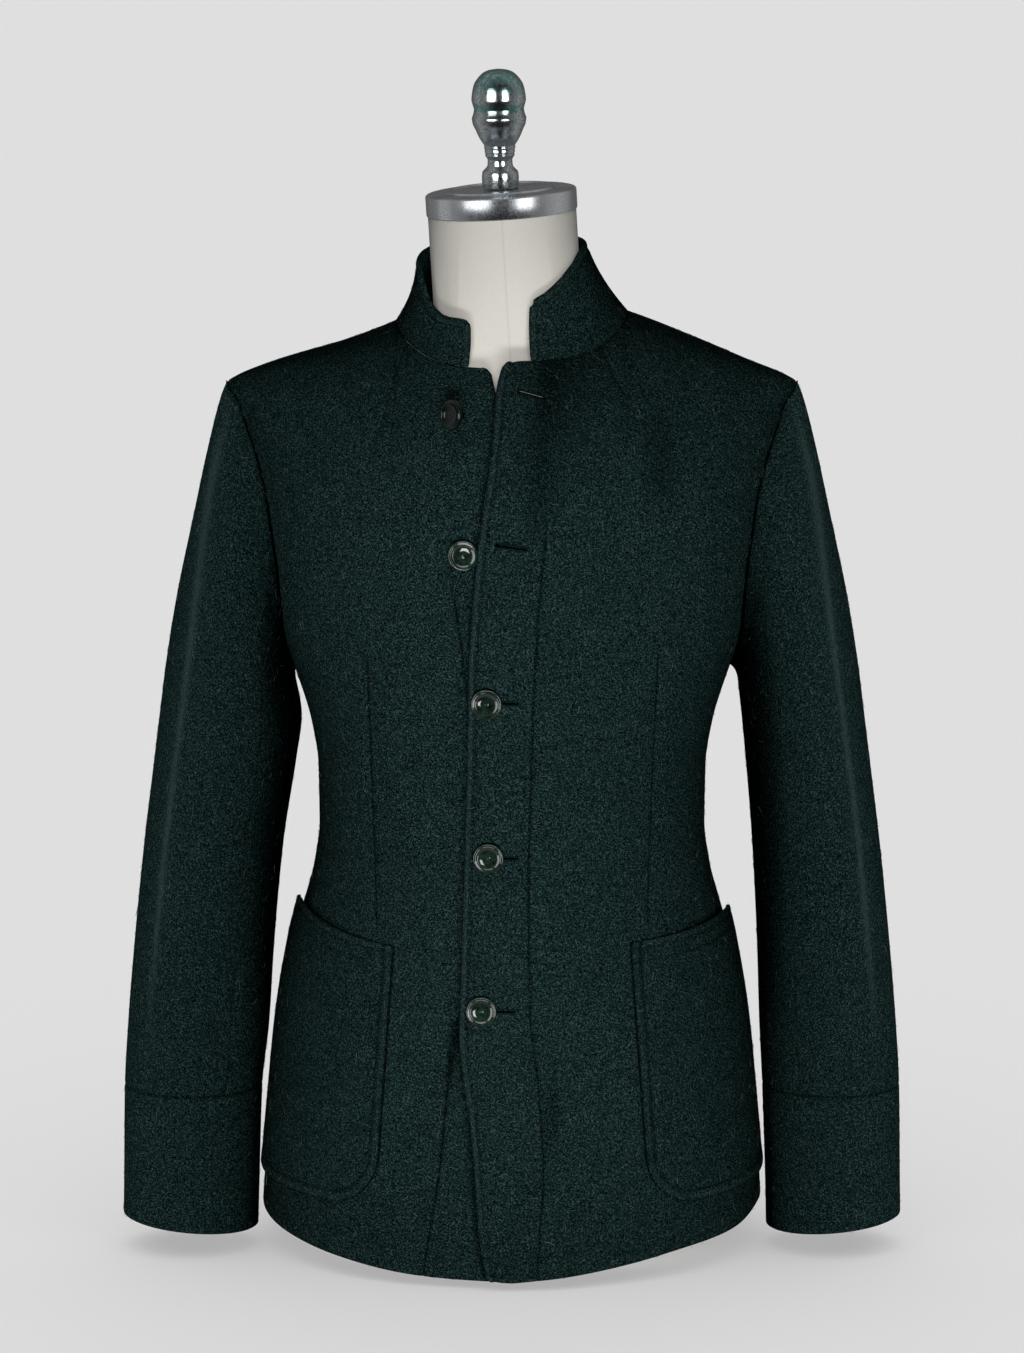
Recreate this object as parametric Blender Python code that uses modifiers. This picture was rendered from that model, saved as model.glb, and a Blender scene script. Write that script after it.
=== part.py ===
"""Short wool coat with a stand collar and patch pockets, worn on a limbless dress form.

Units are metres and +Z is up. The coat's front faces -Y, and the wearer's left is +X.
The origin is on the floor, in the middle of the form's flat base. Each cut piece of the
coat is one closed wall of cloth, lofted over a smooth body surface, and neighbouring
pieces stand a fine seam gap apart.
"""

import math

import bmesh
import bpy
import numpy as np
from mathutils import Matrix, Vector

# Cloth
CLOTH = 0.0025              # wall of the body and the sleeves
BAND_CLOTH = 0.0034         # the front bands are faced, so they are thicker
COLLAR_CLOTH = 0.0048       # collar of two cloths and a stiffener
SEAM_GAP = 0.0003           # between neighbouring pieces

# Body levels
UNDERARM = 0.455
SHOULDER_TIP = 0.677
ROLL = 0.130                # height over which the chest and back round over the shoulder
SQUARENESS = 2.2            # exponent of the body's rounded-oval sections
SIDE_SEAM = 98.0            # degrees round from the middle of the front

# Neck opening
NECK_POINT = 0.0885         # where the shoulder seam meets the collar, from the middle
NECK_LOW = {"right": 0.6985, "left": 0.7045, "back": 0.7330}
NECK_CURVE = {"front": 4.0, "back": 2.5}
NECK_TILT = 0.040           # slope of the neck opening, lower on the wearer's right
TILT_FULL = 0.090
TILT_NONE = 0.190

# Left front over right
OVERLAP_LIFT = 0.0052
OVERLAP_FULL = 0.028        # the left front is fully lifted as far out as this
OVERLAP_NONE = 0.092        # and lies on the body again from here

# Grid of the cloth panels
SKIRT_ROWS = 13             # hem to underarm
CHEST_ROWS = 4              # underarm to the start of the shoulder roll
ROLL_ROWS = 8
ROWS = SKIRT_ROWS + CHEST_ROWS + ROLL_ROWS
SHOULDER_COLUMNS = 7        # columns of a front or back that end on the shoulder seam
CHEST_STEP = 20.0           # degrees of the armhole loop for each chest row

# Columns that end on the neckline, in degrees round from the middle of the front
NECK_COLUMNS = {
    "band_right": (22.0, 37.0),
    "front_right": (64.0, 77.0),
    "back_right": (165.0, 150.0, 135.0, 120.0, 105.0),
    "band_left": (9.5,),
    "front_left": (36.0, 50.0, 64.0, 77.0),
    "back_left": (165.0, 150.0, 135.0, 120.0, 105.0),
}

# Armhole loop, with 0 degrees at the shoulder tip and 180 at the underarm
ARMHOLE_MIDDLE = (SHOULDER_TIP + UNDERARM) / 2
ARMHOLE_HALF = (SHOULDER_TIP - UNDERARM) / 2

# Sleeves
SLEEVE_RINGS = 16
FRONT_SLEEVE_SEAM = 120.0   # degrees of the sleeve's loop, where the top sleeve ends
BACK_SLEEVE_SEAM = 260.0    # and where it begins
HEAD_BLEND = 0.30           # share of the sleeve over which the armhole's shape fades
CUFF_SEAM = 0.131
CUFF_HEM = 0.0215
CUFF_HEM_TILT = 0.0050      # the cuff's outer side is higher than its inner side by twice this
CUFF_ROWS = 3

# Collar
COLLAR_ROWS = 4
COLLAR_TOP_START = 22.5     # degrees from the front's middle to the right end, at the top
COLLAR_TOP_END = 21.0       # and to the left end
COLLAR_TOP_CENTRE = (-0.0082, -0.0090)
COLLAR_TOP_HALF_WIDTH = 0.0644
COLLAR_TOP_DEPTH = {"front": 0.0710, "back": 0.0720}
COLLAR_HOLLOW = 0.0040      # how far the stand curves in between its two edges

# Pockets
POCKET_CLOTH = 0.0026
POCKET_GAP = 0.0009
POCKET_COLUMNS = 10
POCKET_ROWS = 7
POCKET_INNER = 0.0880       # the inner edge's distance from the middle, at the mouth
POCKET_SLANT = 0.075        # and how much further out it is for each metre down
POCKET_OUTER_ANGLE = 95.0
POCKET_BOTTOM = 0.0590
POCKET_INNER_CORNER = 0.040
POCKET_OUTER_CORNER = 0.022
POCKET_GAPE = 0.0026        # the mouth's outer end stands off the front
POCKET_ARC = 0.86           # the flattened section's arc, as a share of a round one's

# Buttons
SHANK_RADIUS = 0.0026
BUTTON_STEPS = 16

# Dress form
FORM_SHOULDER_INSET = 0.0040
FORM_INSET = 0.0125
FORM_INSET_FROM = 0.05      # share of the roll's height where the form starts to stand back
FORM_INSET_TO = 0.50
FORM_COLUMNS = 36
FORM_FOOT_ROUND = 0.045     # the lower edge is rounded in over this height
FORM_BASE = (0.120, 0.065)  # half width and half depth of the flat base
FORM_FOOT_ROWS = 4
FORM_TORSO_ROWS = 7
FORM_CHEST_ROWS = 3
FORM_ROLL_ROWS = 7
NECK_RADIUS = 0.0560
NECK_TOP = (-0.0075, -0.0060, 0.8055)
NECK_LENGTH = 0.115
NECK_LEAN = 3.5             # degrees, to the wearer's right
NECK_SIDES = 32
FINIAL_LEAN = 1.2
FINIAL_FOOT = 0.0128
TURNED_STEPS = 22

LEFT = 1
RIGHT = -1


class Table:
    """A short table of sizes with named columns, read as smooth curves up its first column."""

    def __init__(self, names, rows):
        self.places = [row[0] for row in rows]
        self.columns = {name: [row[i] for row in rows] for i, name in enumerate(names)}
        self.slopes = {name: self.slopes_of(values) for name, values in self.columns.items()}

    def slopes_of(self, values):
        """Slopes of a monotone curve: zero at a peak, and a harmonic mean elsewhere."""
        steps = [b - a for a, b in zip(self.places, self.places[1:])]
        chords = [(b - a) / step for a, b, step in zip(values, values[1:], steps)]
        middle = [
            2 * a * b / (a + b) if a * b > 0 else 0.0 for a, b in zip(chords, chords[1:])
        ]
        return [chords[0], *middle, chords[-1]]

    def at(self, name, place):
        places, values, slopes = self.places, self.columns[name], self.slopes[name]
        if place <= places[0]:
            return values[0]
        if place >= places[-1]:
            return values[-1]
        i = next(k for k in range(len(places) - 1) if place <= places[k + 1])
        step = places[i + 1] - places[i]
        t = (place - places[i]) / step
        start = (1 + 2 * t) * (1 - t) ** 2 * values[i] + t * (1 - t) ** 2 * step * slopes[i]
        end = t * t * (3 - 2 * t) * values[i + 1] - t * t * (1 - t) * step * slopes[i + 1]
        return start + end


# Outer face of the worn coat, by height
BODY = Table(
    ("height", "half_width", "front", "back"),
    (
        (0.000, 0.1980, 0.1390, 0.1430),
        (0.050, 0.1945, 0.1385, 0.1425),
        (0.120, 0.1880, 0.1360, 0.1405),
        (0.180, 0.1815, 0.1325, 0.1370),
        (0.240, 0.1700, 0.1275, 0.1290),
        (0.270, 0.1615, 0.1240, 0.1225),
        (0.300, 0.1535, 0.1200, 0.1140),
        (0.335, 0.1490, 0.1170, 0.1040),
        (0.380, 0.1495, 0.1165, 0.1000),
        (0.415, 0.1545, 0.1170, 0.1020),
        (0.460, 0.1680, 0.1195, 0.1080),
        (0.500, 0.1820, 0.1225, 0.1150),
        (0.560, 0.1920, 0.1250, 0.1230),
        (0.620, 0.1995, 0.1225, 0.1250),
        (0.660, 0.2075, 0.1195, 0.1235),
        (0.677, 0.2165, 0.1180, 0.1220),
        (0.740, 0.2165, 0.1160, 0.1200),
    ),
)

# Crest of the shoulder, by distance from the middle
SHOULDER = Table(
    ("out", "front", "back"),
    (
        (-0.0450, 0.7345, 0.7450),
        (0.0000, 0.7370, 0.7530),
        (0.0450, 0.7345, 0.7450),
        (0.0885, 0.7260, 0.7260),
        (0.1080, 0.7185, 0.7185),
        (0.1280, 0.7110, 0.7110),
        (0.1540, 0.7020, 0.7020),
        (0.1800, 0.6926, 0.6926),
        (0.2050, 0.6830, 0.6830),
        (0.2165, 0.6770, 0.6770),
    ),
)

# Where the armhole's edge lies round the body, in degrees from the middle of the front
ARMHOLE = Table(
    ("loop", "girth"),
    (
        (0, 90.0),
        (15, 88.0),
        (30, 85.0),
        (45, 80.0),
        (60, 73.5),
        (80, 69.3),
        (100, 68.6),
        (120, 71.0),
        (140, 78.0),
        (160, 88.0),
        (180, 98.0),
        (200, 105.5),
        (220, 111.0),
        (240, 114.5),
        (260, 116.5),
        (280, 116.5),
        (300, 114.5),
        (320, 108.0),
        (340, 99.5),
        (360, 90.0),
    ),
)

# Front edges and band seams from the middle, and how far the left edge lifts off, by height
FRONT = Table(
    ("height", "left_edge", "left_seam", "right_edge", "right_seam", "edge_lift"),
    (
        (0.005, -0.0190, 0.0185, -0.0150, -0.0690, 0.0015),
        (0.045, -0.0257, 0.0212, -0.0100, -0.0625, 0.0025),
        (0.086, -0.0284, 0.0238, -0.0050, -0.0560, 0.0030),
        (0.128, -0.0317, 0.0225, 0.0000, -0.0515, 0.0040),
        (0.178, -0.0384, 0.0180, 0.0080, -0.0465, 0.0045),
        (0.202, -0.0403, 0.0146, 0.0120, -0.0420, 0.0020),
        (0.235, -0.0392, 0.0132, 0.0175, -0.0350, 0.0000),
        (0.300, -0.0372, 0.0126, 0.0230, -0.0295, 0.0000),
        (0.410, -0.0340, 0.0148, 0.0230, -0.0295, 0.0000),
        (0.475, -0.0328, 0.0170, 0.0200, -0.0355, 0.0000),
        (0.546, -0.0277, 0.0218, 0.0090, -0.0445, 0.0045),
        (0.590, -0.0225, 0.0258, 0.0030, -0.0480, 0.0070),
        (0.640, -0.0150, 0.0275, -0.0030, -0.0550, 0.0085),
        (0.690, -0.0105, 0.0322, -0.0140, -0.0650, 0.0080),
        (0.706, -0.0055, 0.0330, -0.0180, -0.0690, 0.0075),
    ),
)

# Height of the hem, by degrees round from the middle of the front
HEM = Table(
    ("girth", "right", "left"),
    (
        (0, 0.0050, 0.0060),
        (20, 0.0082, 0.0132),
        (40, 0.0152, 0.0222),
        (60, 0.0222, 0.0268),
        (80, 0.0275, 0.0345),
        (100, 0.0315, 0.0345),
        (140, 0.0315, 0.0325),
        (180, 0.0300, 0.0300),
    ),
)

# Height of the pockets' mouths, by share of the way from the inner edge to the outer one
POCKET_MOUTH = Table(
    ("across", "right", "left"),
    (
        (0.0, 0.2620, 0.2650),
        (0.3, 0.2665, 0.2665),
        (0.6, 0.2720, 0.2680),
        (0.8, 0.2740, 0.2665),
        (1.0, 0.2690, 0.2610),
    ),
)

# The sleeve's outline from the front, by height
SLEEVE_OUTLINE = Table(
    ("height", "outer", "inner_right", "inner_left"),
    (
        (0.010, 0.3040, 0.1990, 0.1990),
        (0.048, 0.3030, 0.1975, 0.1980),
        (0.131, 0.3010, 0.1940, 0.1945),
        (0.178, 0.2980, 0.1885, 0.1920),
        (0.240, 0.2925, 0.1842, 0.1898),
        (0.320, 0.2840, 0.1765, 0.1855),
        (0.386, 0.2755, 0.1660, 0.1800),
        (0.417, 0.2715, 0.1620, 0.1770),
        (0.455, 0.2665, 0.1680, 0.1735),
        (0.509, 0.2575, 0.1700, 0.1735),
        (0.571, 0.2440, 0.1700, 0.1735),
        (0.633, 0.2300, 0.1700, 0.1735),
        (0.666, 0.2210, 0.1700, 0.1735),
        (0.677, 0.2165, 0.1700, 0.1735),
    ),
)

# The sleeve's rings, from the armhole at 0 to the cuff seam at 1
SLEEVE_RING = Table(
    ("share", "outer_height", "inner_height", "middle_y", "half_depth"),
    (
        (0.00, 0.6770, 0.4550, 0.0040, 0.0560),
        (0.05, 0.6640, 0.4544, 0.0040, 0.0605),
        (0.15, 0.6170, 0.4520, 0.0025, 0.0665),
        (0.30, 0.5160, 0.4420, 0.0000, 0.0700),
        (0.40, 0.4460, 0.4200, -0.0030, 0.0690),
        (0.50, 0.3800, 0.3780, -0.0090, 0.0635),
        (0.75, 0.2400, 0.2400, -0.0220, 0.0505),
        (1.00, 0.1310, 0.1310, -0.0300, 0.0425),
    ),
)

# The collar's top edge, by degrees round from the right end to the left end
COLLAR_TOP = Table(
    ("round", "height"),
    (
        (22.5, 0.7315),
        (45, 0.7340),
        (57, 0.7405),
        (66, 0.7490),
        (76, 0.7600),
        (90, 0.7690),
        (110, 0.7745),
        (180, 0.7820),
        (250, 0.7850),
        (286, 0.7800),
        (301, 0.7710),
        (314, 0.7620),
        (326, 0.7530),
        (339, 0.7460),
    ),
)

# Buttons: middle on the cloth, the front that carries it, turn to the side, shank length
# and the shank's gap to the cloth, less where the cloth rounds away under it
BUTTONS = (
    ("button_1", -0.0375, 0.6640, RIGHT, 40.0, 0.0086, 0.0000),
    ("button_2", -0.0355, 0.5650, RIGHT, 0.0, 0.0012, 0.0004),
    ("button_3", -0.0190, 0.4530, LEFT, 0.0, 0.0012, 0.0004),
    ("button_4", -0.0176, 0.3340, LEFT, 0.0, 0.0012, 0.0005),
    ("button_5", -0.0230, 0.2180, LEFT, 0.0, 0.0012, 0.0004),
)

# Turned pieces, as radius and height from the axis at the top down to the axis again
BUTTON_PROFILE = (
    (0.0000, 0.0026),
    (0.0070, 0.0029),
    (0.0088, 0.0042),
    (0.0103, 0.0042),
    (0.0115, 0.0027),
    (0.0100, 0.0004),
    (0.0026, 0.0000),
)
CAP_PROFILE = (
    (0.0000, 0.0172),
    (0.0380, 0.0172),
    (0.0396, 0.0186),
    (0.0412, 0.0186),
    (0.0424, 0.0170),
    (0.0548, 0.0164),
    (0.0570, 0.0145),
    (0.0570, 0.0012),
    (0.0556, 0.0000),
    (0.0000, 0.0000),
)
FINIAL_PROFILE = (
    (0.0000, 0.0894),
    (0.0062, 0.0885),
    (0.0110, 0.0863),
    (0.0150, 0.0815),
    (0.0176, 0.0752),
    (0.0197, 0.0672),
    (0.0198, 0.0622),
    (0.0186, 0.0566),
    (0.0195, 0.0524),
    (0.0190, 0.0460),
    (0.0170, 0.0368),
    (0.0124, 0.0284),
    (0.0103, 0.0222),
    (0.0101, 0.0180),
    (0.0088, 0.0132),
    (0.0113, 0.0092),
    (0.0138, 0.0034),
    (0.0128, 0.0000),
    (0.0000, 0.0000),
)


def clamp(value):
    return min(max(value, 0.0), 1.0)


def lerp(a, b, share):
    return a + (b - a) * share


def ease(start, end, value):
    """0 at the start, 1 at the end, with a soft slope at both."""
    t = clamp((value - start) / (end - start))
    return t * t * (3 - 2 * t)


def signed_power(value, exponent):
    return math.copysign(abs(value) ** exponent, value)


# ---------------------------------------------------------------- the body's surface


def shoulder_height(x, face):
    tilt = NECK_TILT * x * (1 - ease(TILT_FULL, TILT_NONE, abs(x)))
    return SHOULDER.at(face, abs(x)) + tilt


def shoulder_roll(x, height, face, inset):
    """Share of the full depth that is left at this height, rounding to nothing at the crest."""
    below = shoulder_height(x, face) - inset - height
    return math.sqrt(1 - (1 - clamp(below / (ROLL - inset))) ** 2)


def coat_x(girth, height):
    return BODY.at("half_width", height) * signed_power(math.sin(math.radians(girth)), 2 / SQUARENESS)


def coat_point(girth, height, inset=0.0, crest=None):
    """Point of the coat's outer face, girth degrees round from the middle of the front."""
    half_width = BODY.at("half_width", height)
    x = coat_x(girth, height) * (half_width - inset) / half_width
    along = signed_power(math.cos(math.radians(girth)), 2 / SQUARENESS)
    face = "front" if along > 0 else "back"
    depth = BODY.at(face, height) - inset
    roll = shoulder_roll(x, height, crest or face, inset)
    return Vector((x, -depth * along * roll, height))


def girth_of(x, height, face="front"):
    """The girth angle at a distance from the middle, signed as x is."""
    share = clamp(abs(x) / BODY.at("half_width", height)) ** (SQUARENESS / 2)
    angle = math.degrees(math.asin(share))
    return math.copysign(angle if face == "front" else 180 - angle, x)


def overlap_lift(x, height):
    """How far the left front stands forward of the body, over the right one."""
    seam, edge = FRONT.at("left_seam", height), FRONT.at("left_edge", height)
    towards_edge = clamp((seam - x) / (seam - edge))
    flat = OVERLAP_LIFT * (1 - ease(OVERLAP_FULL, OVERLAP_NONE, x))
    return flat + FRONT.at("edge_lift", height) * towards_edge ** 1.5


def front_point(side, girth, height):
    point = coat_point(girth, height)
    if side == LEFT:
        point.y -= overlap_lift(point.x, height)
    return point


def neckline(x, face, side):
    """Height of the neckline: lowest in the middle and up to the shoulder at the neck point."""
    low = NECK_LOW["back" if face == "back" else "left" if side == LEFT else "right"]
    top = shoulder_height(side * NECK_POINT, face)
    return lerp(low, top, clamp(abs(x) / NECK_POINT) ** NECK_CURVE[face])


def armhole_loop(height):
    """Degrees round the armhole's front half at a height."""
    return math.degrees(math.acos(min(max((height - ARMHOLE_MIDDLE) / ARMHOLE_HALF, -1), 1)))


# ---------------------------------------------------------------- panels of the body


def settle(level, x_at):
    """Height where a line up the panel meets a level that depends on its distance out."""
    height = UNDERARM
    for _ in range(8):
        height = level(x_at(height))
    return height


def row_height(row, x_at, hem, face, side):
    """Height of a row on one line up a panel, from its hem to its neckline or shoulder."""

    def roll_start(x):
        return shoulder_height(x, face) - ROLL

    def top(x):
        inside_neck = abs(x) < NECK_POINT
        return neckline(x, face, side) if inside_neck else shoulder_height(x, face)

    def chest_level(x):
        turned = 1 - math.cos(math.radians(CHEST_STEP * (row - SKIRT_ROWS)))
        whole = 1 - math.cos(math.radians(CHEST_STEP * CHEST_ROWS))
        return lerp(UNDERARM, roll_start(x), turned / whole)

    def roll_level(x):
        start = roll_start(x)
        last = math.asin(min((top(x) - start) / ROLL, 1.0))
        return start + ROLL * math.sin(last * (row - SKIRT_ROWS - CHEST_ROWS) / ROLL_ROWS)

    if row <= SKIRT_ROWS:
        return lerp(hem, UNDERARM, row / SKIRT_ROWS)
    if row <= SKIRT_ROWS + CHEST_ROWS:
        return settle(chest_level, x_at)
    return settle(roll_level, x_at)


def panel_surface(face, side, inner, outer):
    """Function of (column share, row) on a panel between two edges, given as girth by height."""

    def point(share, row):
        def girth(height):
            return lerp(inner(height), outer(height), share)

        def x_at(height):
            return coat_x(girth(height), height)

        hem = HEM.at("left" if side == LEFT else "right", abs(girth(0.0)))
        height = row_height(row, x_at, hem, face, side)
        return front_point(side, girth(height), height) if face == "front" else coat_point(
            girth(height), height
        )

    return point


def surface_grid(point, shares, rows):
    """Outer points and outward normals at each row and share, as arrays."""
    step, row_step = 0.002, 0.02
    points = np.array([[point(share, row) for share in shares] for row in rows])
    normals = np.empty_like(points)
    for i, row in enumerate(rows):
        for j, share in enumerate(shares):
            low, high = max(share - step, shares[0]), min(share + step, shares[-1])
            across = point(high, row) - point(low, row)
            up = point(share, min(row + row_step, rows[-1])) - point(
                share, max(row - row_step, rows[0])
            )
            normals[i, j] = across.cross(up).normalized()
    return points, normals


def pull_back(points, rows=(), columns=(), distance=SEAM_GAP / 2):
    """Moves the named border rows and columns inward along the sheet, for the seam gap."""
    for k in rows:
        to = points[1 if k == 0 else -2] - points[k]
        points[k] += to / np.linalg.norm(to, axis=-1, keepdims=True) * distance
    for k in columns:
        to = points[:, 1 if k == 0 else -2] - points[:, k]
        points[:, k] += to / np.linalg.norm(to, axis=-1, keepdims=True) * distance


def wall(name, outer, inner, finish, closed=False):
    """One closed body between two sheets of points. A closed sheet's last column meets its first."""
    rows, columns = outer.shape[:2]
    mesh = bmesh.new()
    sheets = [[[mesh.verts.new(p) for p in row] for row in sheet] for sheet in (outer, inner)]
    spans = columns if closed else columns - 1
    for i in range(rows - 1):
        for j in range(spans):
            k = (j + 1) % columns
            out, back = sheets
            mesh.faces.new((out[i][j], out[i][k], out[i + 1][k], out[i + 1][j]))
            mesh.faces.new((back[i][j], back[i + 1][j], back[i + 1][k], back[i][k]))
    rims = [[(i, j) for j in range(columns)] for i in (0, rows - 1)]
    if not closed:
        rims += [[(i, j) for i in range(rows)] for j in (0, columns - 1)]
    for rim in rims:
        ends = zip(rim, rim[1:] + rim[:1]) if closed else zip(rim, rim[1:])
        for (i, j), (p, q) in ends:
            out, back = sheets
            mesh.faces.new((out[i][j], out[p][q], back[p][q], back[i][j]))
    return add_object(name, mesh, finish)


def edge_turn(edge, side):
    """Where an upright edge meets the neckline, in degrees round from the front's middle."""
    height = NECK_LOW["right"]
    for _ in range(8):
        x = coat_x(edge(height), height)
        height = neckline(x, "front", side)
    return math.degrees(math.asin(side * x / NECK_POINT))


def column_shares(name, face, side, inner, outer):
    """Shares across a panel of its columns: on the neckline, then evenly along the shoulder."""
    on_band = name.startswith("band")
    shares = [0.0]
    for turn in NECK_COLUMNS[name] + (() if on_band else (90.0,)):
        x = side * NECK_POINT * math.sin(math.radians(turn))
        height = neckline(x, face, side)
        start, end = inner(height), outer(height)
        shares.append((girth_of(x, height, face) - start) / (end - start))
    left_over = 1 - shares[-1]
    columns = 1 if on_band else SHOULDER_COLUMNS
    return shares + [shares[-1] + left_over * (i + 1) / columns for i in range(columns)]


def body_panel(name, face, side, inner, outer, thickness, finish, trimmed):
    """A front, back or band. Trimmed names the border columns that meet another piece."""
    shares = column_shares(name, face, side, inner, outer)
    point = panel_surface(face, side, inner, outer)
    points, normals = surface_grid(point, shares, range(ROWS + 1))
    if outer(UNDERARM) < inner(UNDERARM):
        normals = -normals
    # The walls of two panels meet in the plane of the shoulder seam or the centre back.
    on_shoulder = abs(points[-1, :, 0]) > NECK_POINT - SEAM_GAP
    normals[-1, on_shoulder, 1] = 0
    if face == "back":
        normals[:, 0, 0] = 0
    normals /= np.linalg.norm(normals, axis=-1, keepdims=True)
    armhole = points[SKIRT_ROWS:, -1].copy(), normals[SKIRT_ROWS:, -1]
    back = points - normals * thickness
    for sheet in (points, back):
        pull_back(sheet, rows=(-1,), columns=trimmed)
    wall(name, points, back, finish)
    return armhole


def front_edges(side):
    """The band's free edge, its seam and the outer edge of a front, as girth by height."""
    word = "left" if side == LEFT else "right"

    def free(height):
        return girth_of(FRONT.at(word + "_edge", height), height)

    def seam(height):
        return girth_of(FRONT.at(word + "_seam", height), height)

    def outer(height):
        return side * armhole_girth(height, "front")

    return free, seam, outer


def armhole_girth(height, face):
    """Girth of the panel's outer edge: the side seam, and the armhole above it."""
    if height <= UNDERARM:
        return SIDE_SEAM
    loop = armhole_loop(height)
    return ARMHOLE.at("girth", loop if face == "front" else 360 - loop)


def build_body(side, finish):
    """The fronts, bands and backs of one side, and the edges of its armhole."""
    word = "left" if side == LEFT else "right"
    free, seam, outer = front_edges(side)
    front = body_panel("front_" + word, "front", side, seam, outer, CLOTH, finish, (0, -1))
    body_panel("band_" + word, "front", side, free, seam, BAND_CLOTH, finish, (-1,))

    def middle(height):
        return side * 180.0

    def back_outer(height):
        return side * armhole_girth(height, "back")

    back = body_panel("back_" + word, "back", side, middle, back_outer, CLOTH, finish, (0, -1))
    return front, back


# ---------------------------------------------------------------- collar


def collar_seam_point(turn):
    """Point of the neckline, turn degrees round from the middle of the front."""
    x = NECK_POINT * math.sin(math.radians(turn))
    side = LEFT if x > 0 else RIGHT
    face = "front" if math.cos(math.radians(turn)) > 0 else "back"
    height = neckline(x, face, side)
    girth = girth_of(x, height, face)
    return front_point(side, girth, height) if face == "front" else coat_point(girth, height)


def collar_top_point(turn):
    heading = math.radians(-turn)
    face = "front" if math.cos(heading) > 0 else "back"
    return Vector(
        (
            COLLAR_TOP_CENTRE[0] + COLLAR_TOP_HALF_WIDTH * math.sin(heading),
            COLLAR_TOP_CENTRE[1] - COLLAR_TOP_DEPTH[face] * math.cos(heading),
            COLLAR_TOP.at("height", turn),
        )
    )


def grid_normals(points, closed):
    """Normals from each point's neighbours. Columns run round and rows run along."""
    if closed:
        across = np.roll(points, -1, axis=1) - np.roll(points, 1, axis=1)
    else:
        across = np.gradient(points, axis=1)
    normals = np.cross(across, np.gradient(points, axis=0))
    return normals / np.linalg.norm(normals, axis=-1, keepdims=True)


def collar_turns():
    """The collar's columns, in degrees right round from its right end to its left end."""
    right_seam = edge_turn(front_edges(RIGHT)[1], RIGHT)
    left_seam = edge_turn(front_edges(LEFT)[1], LEFT)
    right = [*NECK_COLUMNS["band_right"], right_seam, *NECK_COLUMNS["front_right"], 90.0]
    left = [NECK_COLUMNS["band_left"][-1], left_seam, *NECK_COLUMNS["front_left"], 90.0]
    back = NECK_COLUMNS["back_left"]
    return [*right, *back[::-1], 180.0, *(360 - turn for turn in [*back, *left[::-1]])]


def build_collar(finish):
    turns = collar_turns()
    points = np.empty((COLLAR_ROWS + 1, len(turns), 3))
    for j, turn in enumerate(turns):
        share = (turn - turns[0]) / (turns[-1] - turns[0])
        foot = collar_seam_point(-turn)
        top = collar_top_point(lerp(COLLAR_TOP_START, 360 - COLLAR_TOP_END, share))
        inward = Vector((COLLAR_TOP_CENTRE[0] - foot.x, COLLAR_TOP_CENTRE[1] - foot.y, 0))
        inward.normalize()
        for i in range(COLLAR_ROWS + 1):
            up = i / COLLAR_ROWS
            hollow = COLLAR_HOLLOW * 4 * up * (1 - up)
            points[i, j] = foot.lerp(top, up) + inward * hollow
    normals = -grid_normals(points, False)
    normals[0, :, 2] = 0
    normals[0] /= np.linalg.norm(normals[0], axis=-1, keepdims=True)
    inner = points - normals * COLLAR_CLOTH
    for sheet in (points, inner):
        pull_back(sheet, rows=(0,), distance=SEAM_GAP)
    wall("collar", points, inner, finish)


# ---------------------------------------------------------------- sleeves


def armhole_loops():
    """Loop angles of the body's rows, from the shoulder tip round the front and the back."""
    chest = [180 - CHEST_STEP * i for i in range(CHEST_ROWS)]
    start = SHOULDER_TIP - ROLL
    turns = [math.radians(90 * i / ROLL_ROWS) for i in range(ROLL_ROWS + 1)]
    front = chest + [armhole_loop(start + ROLL * math.sin(turn)) for turn in turns]
    return front[::-1] + [360 - loop for loop in front[1:-1]]


def sleeve_ring(share, side, loops):
    """Points of one ring between the sleeve's outer and inner outline."""
    outer_height = SLEEVE_RING.at("outer_height", share)
    inner_height = SLEEVE_RING.at("inner_height", share)
    inner_name = "inner_left" if side == LEFT else "inner_right"
    outer = Vector((SLEEVE_OUTLINE.at("outer", outer_height), 0, outer_height))
    inner = Vector((SLEEVE_OUTLINE.at(inner_name, inner_height), 0, inner_height))
    middle = (outer + inner) / 2
    middle.y = SLEEVE_RING.at("middle_y", share)
    half_depth = SLEEVE_RING.at("half_depth", share)
    ring = []
    for loop in loops:
        turn = math.radians(loop)
        point = middle + (outer - inner) / 2 * math.cos(turn)
        point.y -= half_depth * math.sin(turn)
        ring.append((side * point.x, point.y, point.z))
    return np.array(ring)


def armhole_ring(front, back):
    """Points round the armhole's edge, and the direction along the body into the hole."""
    points, normals = (
        np.concatenate((ahead[::-1], behind[1:-1])) for ahead, behind in zip(front, back)
    )
    tangents = np.roll(points, -1, axis=0) - np.roll(points, 1, axis=0)
    into = np.cross(tangents, normals)
    into /= np.linalg.norm(into, axis=-1, keepdims=True)
    underarm = points[:, 2].argmin()
    return points, into * math.copysign(1, into[underarm, 2])


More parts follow.
